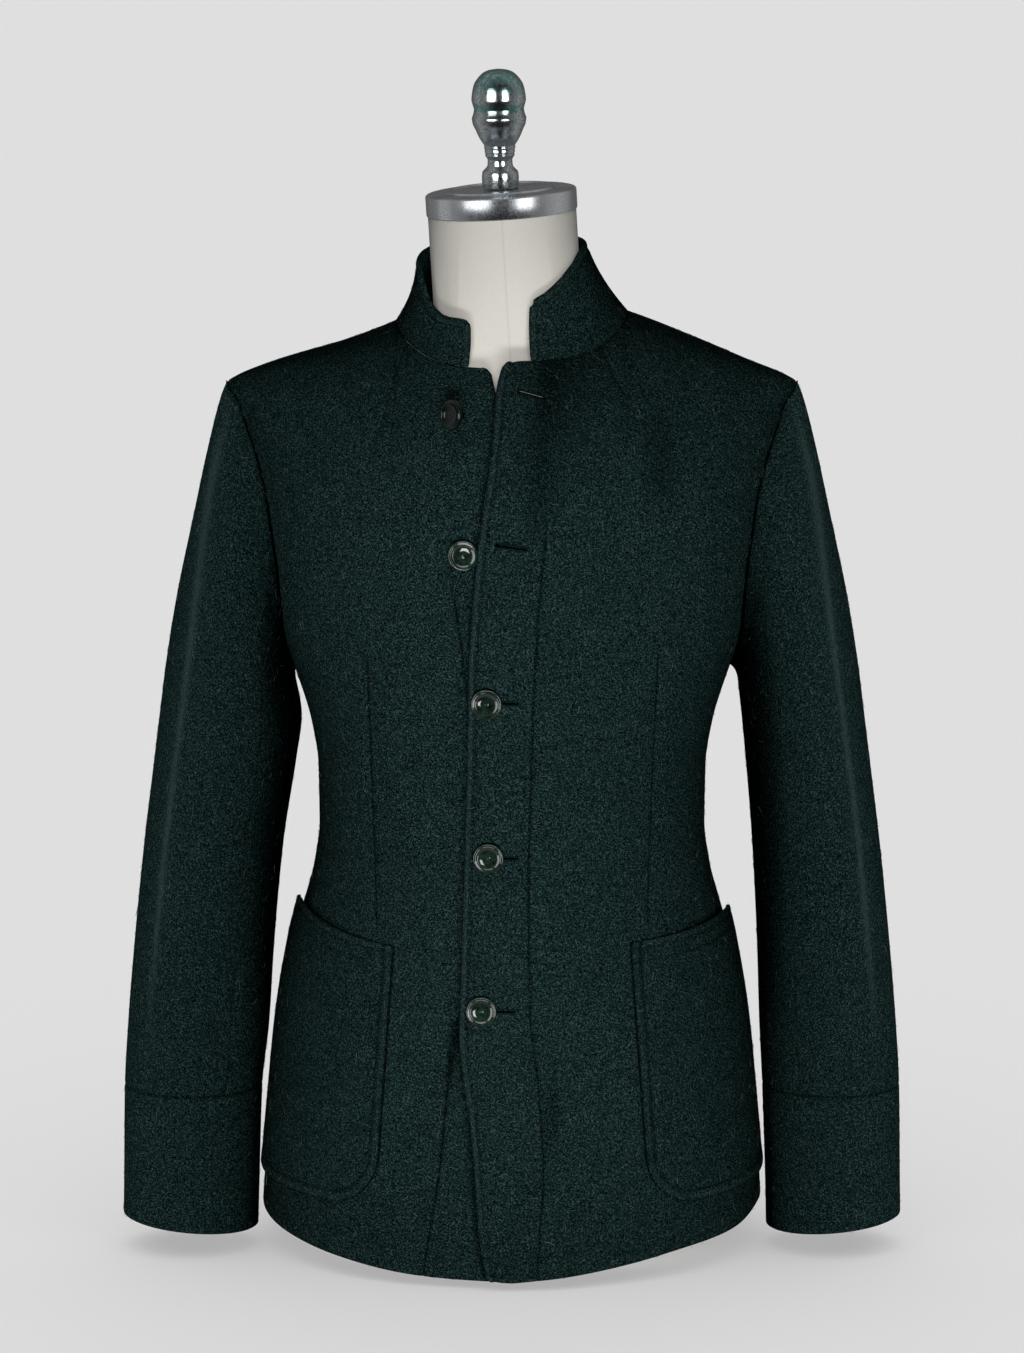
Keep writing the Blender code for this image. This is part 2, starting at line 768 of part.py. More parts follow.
def sleeve_tube(side, front, back):
    """Outer and inner points of the whole sleeve and cuff, ring by ring."""
    loops = armhole_loops()
    hole, into = armhole_ring(front, back)
    shift = hole + into * SEAM_GAP - sleeve_ring(0.0, side, loops)
    rings = []
    for i in range(SLEEVE_RINGS + 1):
        share = i / SLEEVE_RINGS
        fade = clamp(1 - share / HEAD_BLEND) ** 2
        rings.append(sleeve_ring(share, side, loops) + shift * fade)
    for i in range(1, CUFF_ROWS + 1):
        rings.append(cuff_ring(rings[SLEEVE_RINGS], i / CUFF_ROWS, side, loops))
    points = np.array(rings)
    inward = -grid_normals(points, True) * side
    # At the armhole the wall never turns back over the body's edge.
    back_over = np.minimum((inward[0] * into).sum(axis=-1, keepdims=True), 0)
    inward[0] -= into * back_over
    inward[0] /= np.linalg.norm(inward[0], axis=-1, keepdims=True)
    return points, points + inward * CLOTH, loops


def cuff_ring(seam, share, side, loops):
    """The cuff goes on from its seam and follows the sleeve's outline down to a tilted hem."""
    ring = seam.copy()
    turns = np.cos(np.radians(loops))
    hem = CUFF_HEM + CUFF_HEM_TILT * turns
    ring[:, 2] = lerp(CUFF_SEAM, hem, share)
    inner_name = "inner_left" if side == LEFT else "inner_right"
    level = lerp(CUFF_SEAM, CUFF_HEM, share)
    outer = SLEEVE_OUTLINE.at("outer", level)
    inner = SLEEVE_OUTLINE.at(inner_name, level)
    ring[:, 0] = side * ((outer + inner) / 2 + (outer - inner) / 2 * turns)
    return ring


def build_sleeve(side, front, back, finish):
    """The top sleeve, the under sleeve and the cuff, cut out of one tube."""
    word = "left" if side == LEFT else "right"
    outer, inner, loops = sleeve_tube(side, front, back)
    front_seam = loops.index(min(loops, key=lambda loop: abs(loop - FRONT_SLEEVE_SEAM)))
    back_seam = loops.index(min(loops, key=lambda loop: abs(loop - BACK_SLEEVE_SEAM)))
    count = len(loops)
    pieces = {
        "sleeve_top_": [k % count for k in range(back_seam, count + front_seam + 1)],
        "sleeve_under_": list(range(front_seam, back_seam + 1)),
    }
    for piece, columns in pieces.items():
        sheets = []
        for sheet in (outer, inner):
            part = sheet[: SLEEVE_RINGS + 1][:, columns].copy()
            pull_back(part, rows=(-1,), columns=(0, -1))
            sheets.append(part)
        wall(piece + word, *sheets, finish)
    cuffs = []
    for sheet in (outer, inner):
        part = sheet[SLEEVE_RINGS:].copy()
        pull_back(part, rows=(0,))
        cuffs.append(part)
    wall("cuff_" + word, *cuffs, finish, closed=True)


# ---------------------------------------------------------------- pockets


def pocket_surface(side):
    """Function of (column share, row) on the front where the pocket lies."""
    word = "left" if side == LEFT else "right"

    def edge_distance(height):
        return POCKET_INNER + (POCKET_MOUTH.at(word, 0) - height) * POCKET_SLANT

    def corner(distance, radius):
        """Rise of a rounded corner at a distance from its upright edge."""
        if distance >= radius:
            return 0.0
        return radius - math.sqrt(radius**2 - (radius - distance) ** 2)

    def point(share, row):
        outer = POCKET_OUTER_ANGLE
        low_inner = girth_of(edge_distance(POCKET_BOTTOM), POCKET_BOTTOM)
        span = math.radians(outer - low_inner) * BODY.at("half_width", POCKET_BOTTOM)
        arc = span * POCKET_ARC
        low = POCKET_BOTTOM + corner(share * arc, POCKET_INNER_CORNER)
        low += corner((1 - share) * arc, POCKET_OUTER_CORNER)
        height = lerp(low, POCKET_MOUTH.at(word, share), row / POCKET_ROWS)
        inner = girth_of(edge_distance(height), height)
        return front_point(side, side * lerp(inner, outer, share), height)

    return point


def build_pockets(finish):
    turns = [i / POCKET_COLUMNS for i in range(POCKET_COLUMNS + 1)]
    shares = [0.65 * t + 0.35 * (1 - math.cos(math.pi * t)) / 2 for t in turns]
    for side, word in ((RIGHT, "right"), (LEFT, "left")):
        points, normals = surface_grid(pocket_surface(side), shares, range(POCKET_ROWS + 1))
        if side == RIGHT:
            normals = -normals
        rise = np.linspace(0, 1, POCKET_ROWS + 1)[:, None, None] ** 4
        outward = np.array(shares)[None, :, None] ** 2
        back = points + normals * (POCKET_GAP + POCKET_GAPE * rise * outward)
        wall("pocket_" + word, back + normals * POCKET_CLOTH, back, finish)


# ---------------------------------------------------------------- turned pieces and buttons


def turned(name, profile, steps, place, finish):
    """A turned piece, its profile's top at the start, set by a matrix."""
    data = bpy.data.meshes.new(name)
    points = [(radius, 0.0, height) for radius, height in profile]
    data.from_pydata(points, [(i, i + 1) for i in range(len(points) - 1)], [])
    piece = bpy.data.objects.new(name, data)
    screw = piece.modifiers.new("turn", "SCREW")
    screw.steps = steps
    screw.render_steps = steps
    screw.use_merge_vertices = True
    screw.merge_threshold = 0.00002
    screw.use_smooth_shade = True
    data.materials.append(finish)
    piece.matrix_world = place
    COAT.objects.link(piece)


def aim(normal, origin):
    """Matrix that puts a turned piece's axis along a normal at a point."""
    turn = normal.to_track_quat("Z", "Y").to_matrix().to_4x4()
    return Matrix.Translation(origin) @ turn


def build_buttons(finish):
    step = 0.002
    for name, x, height, side, yaw, shank, gap in BUTTONS:

        def at(x, height, side=side):
            return front_point(side, girth_of(x, height), height)

        across = at(x + step, height) - at(x - step, height)
        up = at(x, height + step) - at(x, height - step)
        normal = across.cross(up).normalized()
        axis = Matrix.Rotation(math.radians(-yaw), 3, "Z") @ normal
        foot = at(x, height) + normal * gap
        foot += axis * SHANK_RADIUS * math.tan(math.radians(yaw))
        profile = [(radius, height + shank) for radius, height in BUTTON_PROFILE]
        profile += [(SHANK_RADIUS, 0.0), (0.0, 0.0)]
        turned(name, profile, BUTTON_STEPS, aim(axis, foot), finish)


# ---------------------------------------------------------------- dress form


def form_inset(x, height):
    """The form nearly touches the coat on the shoulders and stands well inside it below."""
    below = shoulder_height(x, "front") - height
    return lerp(FORM_SHOULDER_INSET, FORM_INSET, ease(FORM_INSET_FROM * ROLL, FORM_INSET_TO * ROLL, below))


def form_ring(height):
    return [
        form_point(360 * k / FORM_COLUMNS, height) for k in range(FORM_COLUMNS)
    ]


def form_point(girth, height):
    turned_girth = girth if girth <= 180 else girth - 360
    inset = form_inset(coat_x(turned_girth, height), height)
    return coat_point(turned_girth, height, inset, crest="front")


def form_foot_ring(share):
    """A ring of the rounded lower edge, from the flat base at 0 to the torso at 1."""
    height = FORM_FOOT_ROUND * (1 - math.cos(math.pi / 2 * share))
    spread = math.sin(math.pi / 2 * share)
    ring = []
    for point in form_ring(FORM_FOOT_ROUND):
        base = point.copy()
        base.x *= FORM_BASE[0] / BODY.at("half_width", FORM_FOOT_ROUND)
        base.y *= FORM_BASE[1] / BODY.at("front", FORM_FOOT_ROUND)
        ring.append(Vector((*base.lerp(point, spread).xy, height)))
    return ring


def form_shoulder_height(girth, row):
    """Height of a chest or shoulder row, for one line up the form."""

    def crest(x):
        return shoulder_height(x, "front")

    def level(x):
        start = crest(x) - ROLL
        if row <= FORM_CHEST_ROWS:
            return lerp(UNDERARM, start, row / FORM_CHEST_ROWS)
        share = (row - FORM_CHEST_ROWS) / FORM_ROLL_ROWS
        return start + (ROLL - FORM_SHOULDER_INSET) * math.sin(math.pi / 2 * share)

    # A front line and the back line behind it share one distance out, so that they meet.
    return settle(level, lambda height: coat_x(girth, height))


def build_form(finish):
    rings = [form_foot_ring(i / FORM_FOOT_ROWS) for i in range(FORM_FOOT_ROWS + 1)]
    for i in range(1, FORM_TORSO_ROWS + 1):
        rings.append(form_ring(lerp(FORM_FOOT_ROUND, UNDERARM, i / FORM_TORSO_ROWS)))
    for row in range(1, FORM_CHEST_ROWS + FORM_ROLL_ROWS + 1):
        ring = []
        for k in range(FORM_COLUMNS):
            girth = 360 * k / FORM_COLUMNS
            folded = girth if girth <= 180 else girth - 360
            ring.append(form_point(girth, form_shoulder_height(folded, row)))
        rings.append(ring)
    for point in rings[-1]:
        point.y = 0.0
    mesh = bmesh.new()
    layers = [[mesh.verts.new(point) for point in ring] for ring in rings]
    for low, high in zip(layers, layers[1:]):
        for k in range(FORM_COLUMNS):
            nxt = (k + 1) % FORM_COLUMNS
            mesh.faces.new((low[k], low[nxt], high[nxt], high[k]))
    mesh.faces.new(layers[0][::-1])
    bmesh.ops.remove_doubles(mesh, verts=mesh.verts, dist=0.00005)
    torso = add_object("form_body", mesh, finish)

    neck = bmesh.new()
    lean = Matrix.Rotation(math.radians(-NECK_LEAN), 4, "Y")
    place = Matrix.Translation(NECK_TOP) @ lean @ Matrix.Translation((0, 0, -NECK_LENGTH / 2))
    bmesh.ops.create_cone(
        neck, cap_ends=True, segments=NECK_SIDES, radius1=NECK_RADIUS, radius2=NECK_RADIUS,
        depth=NECK_LENGTH, matrix=place,
    )
    column = add_object("neck_column", neck, finish)
    COAT.objects.unlink(column)
    CUTTERS.objects.link(column)
    column.hide_render = True
    column.display_type = "WIRE"
    union = torso.modifiers.new("neck", "BOOLEAN")
    union.operation = "UNION"
    union.object = column


def build_cap_and_finial(metal, lacquer):
    lean = Matrix.Rotation(math.radians(-NECK_LEAN), 4, "Y")
    seat = Matrix.Translation(NECK_TOP) @ lean @ Matrix.Translation((0, 0, SEAM_GAP))
    turned("neck_cap", CAP_PROFILE, NECK_SIDES, seat, metal)
    top = seat @ Vector((0, 0, CAP_PROFILE[0][1]))
    rise = FINIAL_FOOT * math.tan(math.radians(NECK_LEAN - FINIAL_LEAN)) + SEAM_GAP
    stand = Matrix.Translation(top + Vector((0, 0, rise)))
    tip = Matrix.Rotation(math.radians(-FINIAL_LEAN), 4, "Y")
    turned("finial", FINIAL_PROFILE, TURNED_STEPS, stand @ tip, lacquer)


# ---------------------------------------------------------------- scene


def add_object(name, mesh, finish):
    bmesh.ops.recalc_face_normals(mesh, faces=mesh.faces)
    data = bpy.data.meshes.new(name)
    mesh.to_mesh(data)
    mesh.free()
    data.materials.append(finish)
    data.shade_smooth()
    data.set_sharp_from_angle(angle=math.radians(50))
    piece = bpy.data.objects.new(name, data)
    COAT.objects.link(piece)
    return piece


def make_finish(name, colour, roughness, metallic=0.0):
    finish = bpy.data.materials.new(name)
    finish.use_nodes = True
    shader = finish.node_tree.nodes["Principled BSDF"]
    shader.inputs["Base Color"].default_value = (*colour, 1)
    shader.inputs["Roughness"].default_value = roughness
    shader.inputs["Metallic"].default_value = metallic
    return finish


def new_collection(name):
    collection = bpy.data.collections.new(name)
    bpy.context.scene.collection.children.link(collection)
    return collection


for leftover in list(bpy.data.objects):
    bpy.data.objects.remove(leftover)
COAT = new_collection("coat_on_form")
CUTTERS = new_collection("cutters")

wool = make_finish("wool", (0.010, 0.021, 0.0205), 0.95)
horn = make_finish("horn", (0.006, 0.020, 0.014), 0.15)
linen = make_finish("linen", (0.60, 0.57, 0.51), 0.85)
aluminium = make_finish("aluminium", (0.55, 0.57, 0.60), 0.32, 1.0)
lacquer = make_finish("lacquer", (0.10, 0.16, 0.17), 0.18, 0.6)

for side in (RIGHT, LEFT):
    armhole_front, armhole_back = build_body(side, wool)
    build_sleeve(side, armhole_front, armhole_back, wool)
build_collar(wool)
build_pockets(wool)
build_buttons(horn)
build_form(linen)
build_cap_and_finial(aluminium, lacquer)
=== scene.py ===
"""Looks of a short wool coat worn on a limbless dress form.

Metres, +Z up, the front faces -Y and the wearer's left is +X. Each cut piece of the coat
is a fine closed wall of cloth on the same body surface as its solid, with its seams,
stitch lines, buttonholes and soft folds worked into it by given sizes.
"""

import collections
import math

import bmesh
import bpy
import numpy as np
from mathutils import Matrix, Vector


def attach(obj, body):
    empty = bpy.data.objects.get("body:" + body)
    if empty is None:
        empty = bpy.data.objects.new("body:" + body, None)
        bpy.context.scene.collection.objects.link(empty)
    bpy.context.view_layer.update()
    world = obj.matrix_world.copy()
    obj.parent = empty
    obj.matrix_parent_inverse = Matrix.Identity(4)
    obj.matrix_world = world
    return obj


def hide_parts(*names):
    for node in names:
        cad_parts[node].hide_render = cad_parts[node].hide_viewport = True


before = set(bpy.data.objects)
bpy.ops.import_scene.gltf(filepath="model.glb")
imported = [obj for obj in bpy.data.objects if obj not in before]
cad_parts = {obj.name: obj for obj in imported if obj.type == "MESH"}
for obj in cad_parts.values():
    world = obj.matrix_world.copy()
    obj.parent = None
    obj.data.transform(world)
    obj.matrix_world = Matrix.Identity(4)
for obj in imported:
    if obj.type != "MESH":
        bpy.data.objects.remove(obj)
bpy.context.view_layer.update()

# ---------------------------------------------------------------- sizes

CLOTH = 0.0025
BAND_CLOTH = 0.0034
COLLAR_CLOTH = 0.0048
POCKET_CLOTH = 0.0026
SEAM_GAP = 0.0003

UNDERARM = 0.455
SHOULDER_TIP = 0.677
ROLL = 0.130
SQUARENESS = 2.2
SIDE_SEAM = 98.0

NECK_POINT = 0.0885
NECK_LOW = {"right": 0.6985, "left": 0.7045, "back": 0.7330}
NECK_CURVE = {"front": 4.0, "back": 2.5}
NECK_TILT = 0.040
TILT_FULL = 0.090
TILT_NONE = 0.190

OVERLAP_LIFT = 0.0052
OVERLAP_FULL = 0.028
OVERLAP_NONE = 0.092

SLEEVE_HEAD_BLEND = 0.30
ARMHOLE_MIDDLE = (SHOULDER_TIP + UNDERARM) / 2
ARMHOLE_HALF = (SHOULDER_TIP - UNDERARM) / 2
FRONT_SLEEVE_SEAM = 120.0
BACK_SLEEVE_SEAM = 260.0
CUFF_SEAM = 0.131
CUFF_HEM = 0.0215
CUFF_HEM_TILT = 0.0050

COLLAR_START = 22.0         # degrees round the neckline, right end and left end
COLLAR_END = 350.5
COLLAR_TOP_START = 22.5
COLLAR_TOP_END = 339.0
COLLAR_TOP_CENTRE = (-0.0082, -0.0090)
COLLAR_TOP_HALF_WIDTH = 0.0644
COLLAR_TOP_DEPTH = {"front": 0.0710, "back": 0.0720}
COLLAR_HOLLOW = 0.0040

POCKET_GAP = 0.0009
POCKET_INNER = 0.0880
POCKET_SLANT = 0.075
POCKET_OUTER_ANGLE = 95.0
POCKET_BOTTOM = 0.0590
POCKET_INNER_CORNER = 0.040
POCKET_OUTER_CORNER = 0.022
POCKET_GAPE = 0.0026
POCKET_ARC = 0.86

# Distance of each row of stitches from the edge that it follows
HEM_STITCH = 0.019
EDGE_STITCH = 0.0062
COLLAR_STITCH = 0.0052
POCKET_STITCH = 0.0085
MOUTH_STITCHES = (0.0060, 0.0160)
FINE_STEP = 0.0006          # step of a grid beside a seam or a row of stitches

LEFT = 1
RIGHT = -1
WORD = {LEFT: "left", RIGHT: "right"}
END = -1e-9                 # the far end, where places are counted from either end


class Table:
    """A short table of sizes with named columns, read as smooth curves up its first column."""

    def __init__(self, names, rows):
        rows = np.array(rows, float)
        self.places = rows[:, 0]
        self.columns = {name: rows[:, i] for i, name in enumerate(names)}
        self.slopes = {name: self.slopes_of(values) for name, values in self.columns.items()}

    def slopes_of(self, values):
        chords = np.diff(values) / np.diff(self.places)
        before, after = chords[:-1], chords[1:]
        both = before * after > 0
        total = np.where(both, before + after, 1.0)
        middle = np.where(both, 2 * before * after / total, 0.0)
        return np.concatenate((chords[:1], middle, chords[-1:]))

    def at(self, name, place):
        places, values, slopes = self.places, self.columns[name], self.slopes[name]
        place = np.clip(place, places[0], places[-1])
        i = np.clip(np.searchsorted(places, place) - 1, 0, len(places) - 2)
        step = places[i + 1] - places[i]
        t = (place - places[i]) / step
        start = (1 + 2 * t) * (1 - t) ** 2 * values[i] + t * (1 - t) ** 2 * step * slopes[i]
        end = t * t * (3 - 2 * t) * values[i + 1] - t * t * (1 - t) * step * slopes[i + 1]
        return start + end


BODY = Table(
    ("height", "half_width", "front", "back"),
    (
        (0.000, 0.1980, 0.1390, 0.1430),
        (0.050, 0.1945, 0.1385, 0.1425),
        (0.120, 0.1880, 0.1360, 0.1405),
        (0.180, 0.1815, 0.1325, 0.1370),
        (0.240, 0.1700, 0.1275, 0.1290),
        (0.270, 0.1615, 0.1240, 0.1225),
        (0.300, 0.1535, 0.1200, 0.1140),
        (0.335, 0.1490, 0.1170, 0.1040),
        (0.380, 0.1495, 0.1165, 0.1000),
        (0.415, 0.1545, 0.1170, 0.1020),
        (0.460, 0.1680, 0.1195, 0.1080),
        (0.500, 0.1820, 0.1225, 0.1150),
        (0.560, 0.1920, 0.1250, 0.1230),
        (0.620, 0.1995, 0.1225, 0.1250),
        (0.660, 0.2075, 0.1195, 0.1235),
        (0.677, 0.2165, 0.1180, 0.1220),
        (0.740, 0.2165, 0.1160, 0.1200),
    ),
)

SHOULDER = Table(
    ("out", "front", "back"),
    (
        (-0.0450, 0.7345, 0.7450),
        (0.0000, 0.7370, 0.7530),
        (0.0450, 0.7345, 0.7450),
        (0.0885, 0.7260, 0.7260),
        (0.1080, 0.7185, 0.7185),
        (0.1280, 0.7110, 0.7110),
        (0.1540, 0.7020, 0.7020),
        (0.1800, 0.6926, 0.6926),
        (0.2050, 0.6830, 0.6830),
        (0.2165, 0.6770, 0.6770),
    ),
)

ARMHOLE = Table(
    ("loop", "girth"),
    (
        (0, 90.0),
        (15, 88.0),
        (30, 85.0),
        (45, 80.0),
        (60, 73.5),
        (80, 69.3),
        (100, 68.6),
        (120, 71.0),
        (140, 78.0),
        (160, 88.0),
        (180, 98.0),
        (200, 105.5),
        (220, 111.0),
        (240, 114.5),
        (260, 116.5),
        (280, 116.5),
        (300, 114.5),
        (320, 108.0),
        (340, 99.5),
        (360, 90.0),
    ),
)

FRONT = Table(
    ("height", "left_edge", "left_seam", "right_edge", "right_seam", "edge_lift"),
    (
        (0.005, -0.0190, 0.0185, -0.0150, -0.0690, 0.0015),
        (0.045, -0.0257, 0.0212, -0.0100, -0.0625, 0.0025),
        (0.086, -0.0284, 0.0238, -0.0050, -0.0560, 0.0030),
        (0.128, -0.0317, 0.0225, 0.0000, -0.0515, 0.0040),
        (0.178, -0.0384, 0.0180, 0.0080, -0.0465, 0.0045),
        (0.202, -0.0403, 0.0146, 0.0120, -0.0420, 0.0020),
        (0.235, -0.0392, 0.0132, 0.0175, -0.0350, 0.0000),
        (0.300, -0.0372, 0.0126, 0.0230, -0.0295, 0.0000),
        (0.410, -0.0340, 0.0148, 0.0230, -0.0295, 0.0000),
        (0.475, -0.0328, 0.0170, 0.0200, -0.0355, 0.0000),
        (0.546, -0.0277, 0.0218, 0.0090, -0.0445, 0.0045),
        (0.590, -0.0225, 0.0258, 0.0030, -0.0480, 0.0070),
        (0.640, -0.0150, 0.0275, -0.0030, -0.0550, 0.0085),
        (0.690, -0.0105, 0.0322, -0.0140, -0.0650, 0.0080),
        (0.706, -0.0055, 0.0330, -0.0180, -0.0690, 0.0075),
    ),
)

HEM = Table(
    ("girth", "right", "left"),
    (
        (0, 0.0050, 0.0060),
        (20, 0.0082, 0.0132),
        (40, 0.0152, 0.0222),
        (60, 0.0222, 0.0268),
        (80, 0.0275, 0.0345),
        (100, 0.0315, 0.0345),
        (140, 0.0315, 0.0325),
        (180, 0.0300, 0.0300),
    ),
)

POCKET_MOUTH = Table(
    ("across", "right", "left"),
    (
        (0.0, 0.2620, 0.2650),
        (0.3, 0.2665, 0.2665),
        (0.6, 0.2720, 0.2680),
        (0.8, 0.2740, 0.2665),
        (1.0, 0.2690, 0.2610),
    ),
)

SLEEVE_OUTLINE = Table(
    ("height", "outer", "inner_right", "inner_left"),
    (
        (0.010, 0.3040, 0.1990, 0.1990),
        (0.048, 0.3030, 0.1975, 0.1980),
        (0.131, 0.3010, 0.1940, 0.1945),
        (0.178, 0.2980, 0.1885, 0.1920),
        (0.240, 0.2925, 0.1842, 0.1898),
        (0.320, 0.2840, 0.1765, 0.1855),
        (0.386, 0.2755, 0.1660, 0.1800),
        (0.417, 0.2715, 0.1620, 0.1770),
        (0.455, 0.2665, 0.1680, 0.1735),
        (0.509, 0.2575, 0.1700, 0.1735),
        (0.571, 0.2440, 0.1700, 0.1735),
        (0.633, 0.2300, 0.1700, 0.1735),
        (0.666, 0.2210, 0.1700, 0.1735),
        (0.677, 0.2165, 0.1700, 0.1735),
    ),
)

SLEEVE_RING = Table(
    ("share", "outer_height", "inner_height", "middle_y", "half_depth"),
    (
        (0.00, 0.6770, 0.4550, 0.0040, 0.0560),
        (0.05, 0.6640, 0.4544, 0.0040, 0.0605),
        (0.15, 0.6170, 0.4520, 0.0025, 0.0665),
        (0.30, 0.5160, 0.4420, 0.0000, 0.0700),
        (0.40, 0.4460, 0.4200, -0.0030, 0.0690),
        (0.50, 0.3800, 0.3780, -0.0090, 0.0635),
        (0.75, 0.2400, 0.2400, -0.0220, 0.0505),
        (1.00, 0.1310, 0.1310, -0.0300, 0.0425),
    ),
)

COLLAR_TOP = Table(
    ("round", "height"),
    (
        (22.5, 0.7315),
        (45, 0.7340),
        (57, 0.7405),
        (66, 0.7490),
        (76, 0.7600),
        (90, 0.7690),
        (110, 0.7745),
        (180, 0.7820),
        (250, 0.7850),
        (286, 0.7800),
        (301, 0.7710),
        (314, 0.7620),
        (326, 0.7530),
        (339, 0.7460),
    ),
)


def lerp(a, b, share):
    return a + (b - a) * share


def ease(start, end, value):
    """0 at the start, 1 at the end, with a soft slope at both."""
    t = np.clip((value - start) / (end - start), 0, 1)
    return t * t * (3 - 2 * t)


def signed_power(value, exponent):
    return np.copysign(np.abs(value) ** exponent, value)


def stack(x, y, z):
    return np.stack(np.broadcast_arrays(x, y, z), axis=-1)


def unit(vectors):
    return vectors / np.maximum(np.linalg.norm(vectors, axis=-1, keepdims=True), 1e-12)


# ---------------------------------------------------------------- the body's surface


def shoulder_height(x, on_front):
    tilt = NECK_TILT * x * (1 - ease(TILT_FULL, TILT_NONE, np.abs(x)))
    out = np.abs(x)
    return np.where(on_front, SHOULDER.at("front", out), SHOULDER.at("back", out)) + tilt


def coat_x(girth, height):
    return BODY.at("half_width", height) * signed_power(
        np.sin(np.radians(girth)), 2 / SQUARENESS
    )


def coat_point(girth, height):
    """Point of the coat's outer face, girth degrees round from the middle of the front."""
    x = coat_x(girth, height)
    along = signed_power(np.cos(np.radians(girth)), 2 / SQUARENESS)
    on_front = along > 0
    depth = np.where(on_front, BODY.at("front", height), BODY.at("back", height))
    below = shoulder_height(x, on_front) - height
    roll = np.sqrt(1 - (1 - np.clip(below / ROLL, 0, 1)) ** 2)
    return stack(x, -depth * along * roll, height)


def girth_of(x, height):
    """Degrees round to a place on the front, which undoes coat_x."""
    share = np.clip(np.abs(x) / BODY.at("half_width", height), 0, 1) ** (SQUARENESS / 2)
    return np.copysign(np.degrees(np.arcsin(share)), x)


def overlap_lift(x, height):
    """How far the left front stands forward of the body, over the right one."""
    seam, edge = FRONT.at("left_seam", height), FRONT.at("left_edge", height)
    towards_edge = np.clip((seam - x) / (seam - edge), 0, 1)
    flat = OVERLAP_LIFT * (1 - ease(OVERLAP_FULL, OVERLAP_NONE, x))
    return flat + FRONT.at("edge_lift", height) * towards_edge**1.5


def front_point(side, girth, height):
    point = coat_point(girth, height)
    if side == LEFT:
        point[..., 1] -= overlap_lift(point[..., 0], height)
    return point


def neckline(x, face, side):
    low = NECK_LOW["back" if face == "back" else WORD[side]]
    top = shoulder_height(side * NECK_POINT, face == "front")
    return lerp(low, top, np.clip(np.abs(x) / NECK_POINT, 0, 1) ** NECK_CURVE[face])


def armhole_loop(height):
    cosine = np.clip((height - ARMHOLE_MIDDLE) / ARMHOLE_HALF, -1, 1)
    return np.degrees(np.arccos(cosine))


def armhole_girth(height, face):
    loop = armhole_loop(height)
    edge = ARMHOLE.at("girth", loop if face == "front" else 360 - loop)
    return np.where(height <= UNDERARM, SIDE_SEAM, edge)


def column(name):
    """An upright line on the fronts, as girth by height."""
    return lambda height: girth_of(FRONT.at(name, height), height)


# ---------------------------------------------------------------- grids and walls


def spaced(length, coarse, fine_near, fine, reach):
    """Places from 0 to a length, closer together near each named place."""
    places = [0.0]
    while places[-1] < length - 1e-9:
        away = min((abs(places[-1] - near) for near in fine_near), default=1.0)
        grow = min(away / reach, 1.0)
        places.append(places[-1] + lerp(fine, coarse, grow))
    places = np.array(places) * length / places[-1]
    for near in fine_near:
        places[np.abs(places - near).argmin()] = near
    return np.unique(places)


def surface_normals(points, closed=False):
    """Unit normals of a grid whose rows go up and whose columns go round, facing left of up."""
    if closed:
        across = np.roll(points, -1, axis=1) - np.roll(points, 1, axis=1)
    else:
        across = np.gradient(points, axis=1)
    return unit(np.cross(across, np.gradient(points, axis=0)))


def distances(points, axis):
    """Distance along each row or column from its start."""
    steps = np.linalg.norm(np.diff(points, axis=axis), axis=-1)
    zero = np.zeros_like(np.take(steps, [0], axis=axis))
    return np.concatenate((zero, np.cumsum(steps, axis=axis)), axis=axis)


def thinned(count, step):
    kept = list(range(0, count, step))
    if kept[-1] != count - 1:
        if count - 1 - kept[-1] < step / 2 and len(kept) > 1:
            kept.pop()
        kept.append(count - 1)
    return kept


def in_scene(name, data):
    thing = bpy.data.objects.new(name, data)
    bpy.context.scene.collection.objects.link(thing)
    return thing


